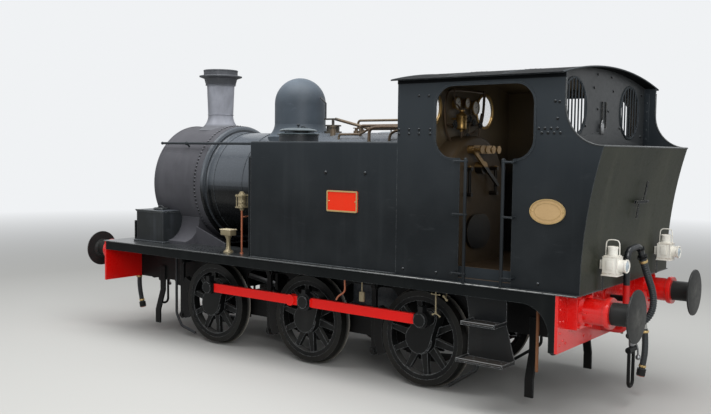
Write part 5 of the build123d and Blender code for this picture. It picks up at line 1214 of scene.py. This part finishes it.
def makeSandTrim(x, across, top, half, lid, handle):
    bm = bmesh.new()
    for side in sides.values():
        y = side * across
        lathe(bm, lid, at(x, y, top), 40)
        tube(bm, [(x + along, y, z) for along, z in handle], 0.007)
        outer = side * (across + half[1])
        tube(bm, [(x - half[0], outer, top - 0.002), (x + half[0], outer, top - 0.002)], 0.006)
    addPiece("sandbox_lids", bm, "footplatePaint")


# lubricators: a pot between two flanges on a copper pipe, and a box with a pale lid on a flared pedestal, the lid's
# pale tone a painted highlight
potLook = {
    "pot": rear + 4.196, "box": rear + 4.430, "across": 1.05, "foot": 1.822,
    "boxSize": (0.088, 0.052, 1.474, 1.542), "lidSize": (0.095, 0.059, 1.5405, 1.552),
    "body": [(0.0, 0.018), (0.050, 0.018), (0.054, 0.024), (0.050, 0.030), (0.050, 0.066), (0.053, 0.070),
             (0.050, 0.074),
             (0.050, 0.126), (0.054, 0.132), (0.050, 0.138)],
    "cap": [(0.052, 0.156), (0.050, 0.168), (0.034, 0.176), (0.030, 0.190), (0.018, 0.194), (0.018, 0.200),
            (0.0, 0.202)],
    "nut": [(0.013, -0.030), (0.024, -0.028), (0.026, -0.020), (0.026, 0.0)],
    "pipe": [[(0.013, -0.556), (0.013, -0.028)], [(0.013, -0.540), (0.022, -0.542), (0.024, -0.550),
                                                  (0.024, -0.556)]],
    "branch": [(0.0, 0.012, 1.712), (0.030, 0.04, 1.722), (0.050, 0.18, 1.716), (0.050, 0.40, 1.690)],
    "pedestal": [(0.062, 0.0), (0.060, 0.012), (0.034, 0.032), (0.025, 0.070), (0.024, 0.110), (0.027, 0.160),
                 (0.048, 0.208)],
}


def makeLubricators(pot, box, across, foot, boxSize, lidSize, body, cap, nut, pipe, branch, pedestal):
    bm = bmesh.new()
    pipes = bmesh.new()
    lids = bmesh.new()
    for side in sides.values():
        x, y = pot, side * across
        place = at(x, y, foot)
        lathe(bm, body, place, 36)
        lathe(bm, cap, place, 36)
        for low in (foot, foot + 0.138):
            block(bm, (x - 0.059, y - 0.059, low), (x + 0.059, y + 0.059, low + 0.018), 0.005)
        for dx in (-0.046, 0.046):
            for dy in (-0.046, 0.046):
                tube(bm, [(x + dx, y + dy, foot + 0.01), (x + dx, y + dy, foot + 0.15)], 0.006)
                bolt(bm, (x + dx, y + dy, foot + 0.156), (0, 0, 1), 0.011, 0.010)
        tube(bm, [(x - 0.028, y, foot + 0.192), (x + 0.028, y, foot + 0.192)], 0.007)
        lathe(bm, nut, place, 6)
        for profile in pipe:
            lathe(pipes, profile, place, 20)
        tube(pipes, [(x - back, y - side * inward, z) for back, inward, z in branch], 0.008, 8)
        x = box
        place = at(x, y, plateTop)
        lathe(bm, pedestal, place, 32)
        for into, (half, wide, low, high), rounding in ((bm, boxSize, 0.008), (lids, lidSize, 0.004)):
            block(into, (x - half, y - wide, low), (x + half, y + wide, high), rounding)
        tube(lids, [(x - 0.08, y - side * 0.058, 1.546), (x + 0.08, y - side * 0.058, 1.546)], 0.006)
        rivet(lids, (x, y + side * 0.03, 1.552), (0, 0, 1), 0.011, 0.8)
        for turn in range(4):
            bolt(bm, place @ quarter(turn + 0.5) @ Vector((0.050, 0, 0.012)), (0, 0, 1), 0.008, 0.007)
    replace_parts(addPiece("lubricator_pots", bm, "bronze"), "lubricators")
    addPiece("lubricator_pipes", pipes, "copper")
    addPiece("oil_box_lids", lids, "lidBrass")


# a small oil feed with its cocks below the running plate, a hung oil box and a drain pipe, clear of the rods
feedLook = {
    "across": 1.105, "inner": 1.05, "elbow": (-2.0575, 1.067), "branch": 1.12,
    "box": ((-1.030, 1.075, 0.905), (-0.968, 1.105, 1.012)), "hanger": (-0.999, 1.09, 1.005),
    "runs": [
        (0.008, [(-1.945, plateUnder), (-1.945, 1.06), (-1.948, 0.912)]),
        (0.007, [(-1.896, 1.096), (-1.945, 1.088), (-1.991, 1.094)]),
        (0.007, [(-1.912, 0.884), (-1.948, 0.912), (-1.996, 0.872)]),
        (0.010, [(-2.040, 1.085), (-2.075, 1.050)]),
    ],
    "drain": [(-0.771, plateUnder), (-0.771, 1.084), (-0.779, 1.019), (-0.759, 0.975), (-0.675, 0.930),
              (-0.654, 0.885)],
}


def makeFeeds(across, inner, elbow, branch, box, hanger, runs, drain):
    for side, facing in sides.items():
        bm = bmesh.new()
        y = facing * across
        for radius, route in runs:
            tube(bm, [(x, y, z) for x, z in route], radius)
            for x, z in (route[0], route[-1]):
                if z < 1.2:
                    rivet(bm, (x, y, z), (0, facing, 0), radius * 1.6, 0.9)
        x, z = elbow
        tube(bm, [(x, y, z), (x, facing * inner, branch), (x, facing * inner, plateUnder)], 0.006)
        corners = [(x, facing * away, z) for x, away, z in box]
        block(bm, [min(each) for each in zip(*corners)], [max(each) for each in zip(*corners)], 0.006)
        x, away, z = hanger
        tube(bm, [(x, facing * away, z), (x, facing * away, plateUnder)], 0.008)
        addPiece(side + "_oil_feed", bm, "bronze")
        bm = bmesh.new()
        tube(bm, [(x, y, z) for x, z in drain], 0.010, 8)
        addPiece(side + "_drain_pipe", bm, "copper")


# steam pipes beside the safety valves, up and back into the cab
steamPipes = {
    "runs": [
        (0.019, 0.42, [(-0.567, 2.590), (-0.566, 2.700), (-0.568, 2.765), (-0.622, 2.801), (-0.760, 2.806),
                       (-1.515, 2.800)]),
        (0.016, 0.36, [(-0.809, 2.600), (-0.809, 2.680), (-0.842, 2.745), (-0.960, 2.772), (-1.515, 2.774)]),
    ],
    "flange": [(0.019, 0.0), (0.036, 0.002), (0.036, 0.016), (0.019, 0.018)],
    "foot": (-0.567, 0.42, 2.612),
}


def makeSteamPipes(runs, flange, foot):
    bm = bmesh.new()
    for radius, y, route in runs:
        tube(bm, [(x, y, z) for x, z in route], radius, 8)
    lathe(bm, flange, at(*foot), 24)
    addPiece("steam_pipes", bm, "hotMetal")


print("making trim")
makeSmokeboxTrim(**smokeTrim)
makeDoorTrim(**doorTrim)
makeChimneyTrim(**chimneyTrim)
makeTankTrim(**tankTrim)
makeCabTrim(**cabTrim)
makeRearTrim(**rearTrim)
makeRoofTrim(**roofTrim)
makeSpectacles(**spectacles)
makeCabFittings(**cabFittings)
print("making fittings")
makePlateTrim(**plateTrim)
makeBeamTrim(**beamTrim)
makeCouplingTrim(**pipeTrim)
makeLamps(**lampLook)
makeStepTrim(**stepTrim)
makeRailTrim(**railTrim)
makeSandTrim(**sandTrim)
makeLubricators(**potLook)
makeFeeds(**feedLook)
makeSteamPipes(**steamPipes)

# floor, world and lamps
stage = {"floor": 60, "tone": rgb(196, 196, 193), "sky": rgb(240, 242, 244), "fade": (9, 26), "fill": 0.42}


def makeFloor(look):
    bm = bmesh.new()
    bmesh.ops.create_grid(bm, x_segments=1, y_segments=1, size=look["floor"])
    mesh = bpy.data.meshes.new("floor")
    bm.to_mesh(mesh)
    bm.free()
    material, shade = newMaterial("floorFinish", "")
    matt = shade.node("BsdfDiffuse", {0: look["tone"]})
    glow = shade.node("Emission", {0: look["sky"], 1: 1.0})
    away = shade.node("VectorMath", {0: coords(shade)}, output=1, operation="LENGTH").ramp(*look["fade"])
    seen = shade.node("LightPath", output=0)
    shade.node("OutputMaterial", {"Surface": shade.node("MixShader", {0: away * seen, 1: matt, 2: glow})})
    mesh.materials.append(material)
    made = bpy.data.objects.new("floor", mesh)
    scene.collection.objects.link(made)


def makeWorld(look):
    world = bpy.data.worlds.new("studio")
    world.use_nodes = True
    world.node_tree.nodes.clear()
    shade = Shade(world.node_tree)
    camera, glossy, through = (
        shade.node("LightPath", output=name) for name in ("Is Camera Ray", "Is Glossy Ray", "Is Transmission Ray")
    )
    seen = (camera + glossy + through).ramp(0, 1)
    light = seen * (1 - look["fill"]) + look["fill"]
    shade.node("OutputWorld", {"Surface": shade.node("Background", {0: look["sky"], 1: light})})
    scene.world = world


def makeLamp(name, place, target, size, power):
    data = bpy.data.lights.new(name, "AREA")
    data.shape = "RECTANGLE"
    data.size, data.size_y = size
    data.energy = power
    made = bpy.data.objects.new(name, data)
    made.location = place
    made.rotation_euler = (Vector(target) - Vector(place)).to_track_quat("-Z", "Y").to_euler()
    scene.collection.objects.link(made)


makeFloor(stage)
makeWorld(stage)
makeLamp("overhead", (-1, 2, 11), (0, 0, 1), (14, 9), 1500)
makeLamp("quarter", (-10, 9, 6), (0, 0, 1.5), (7, 5), 620)
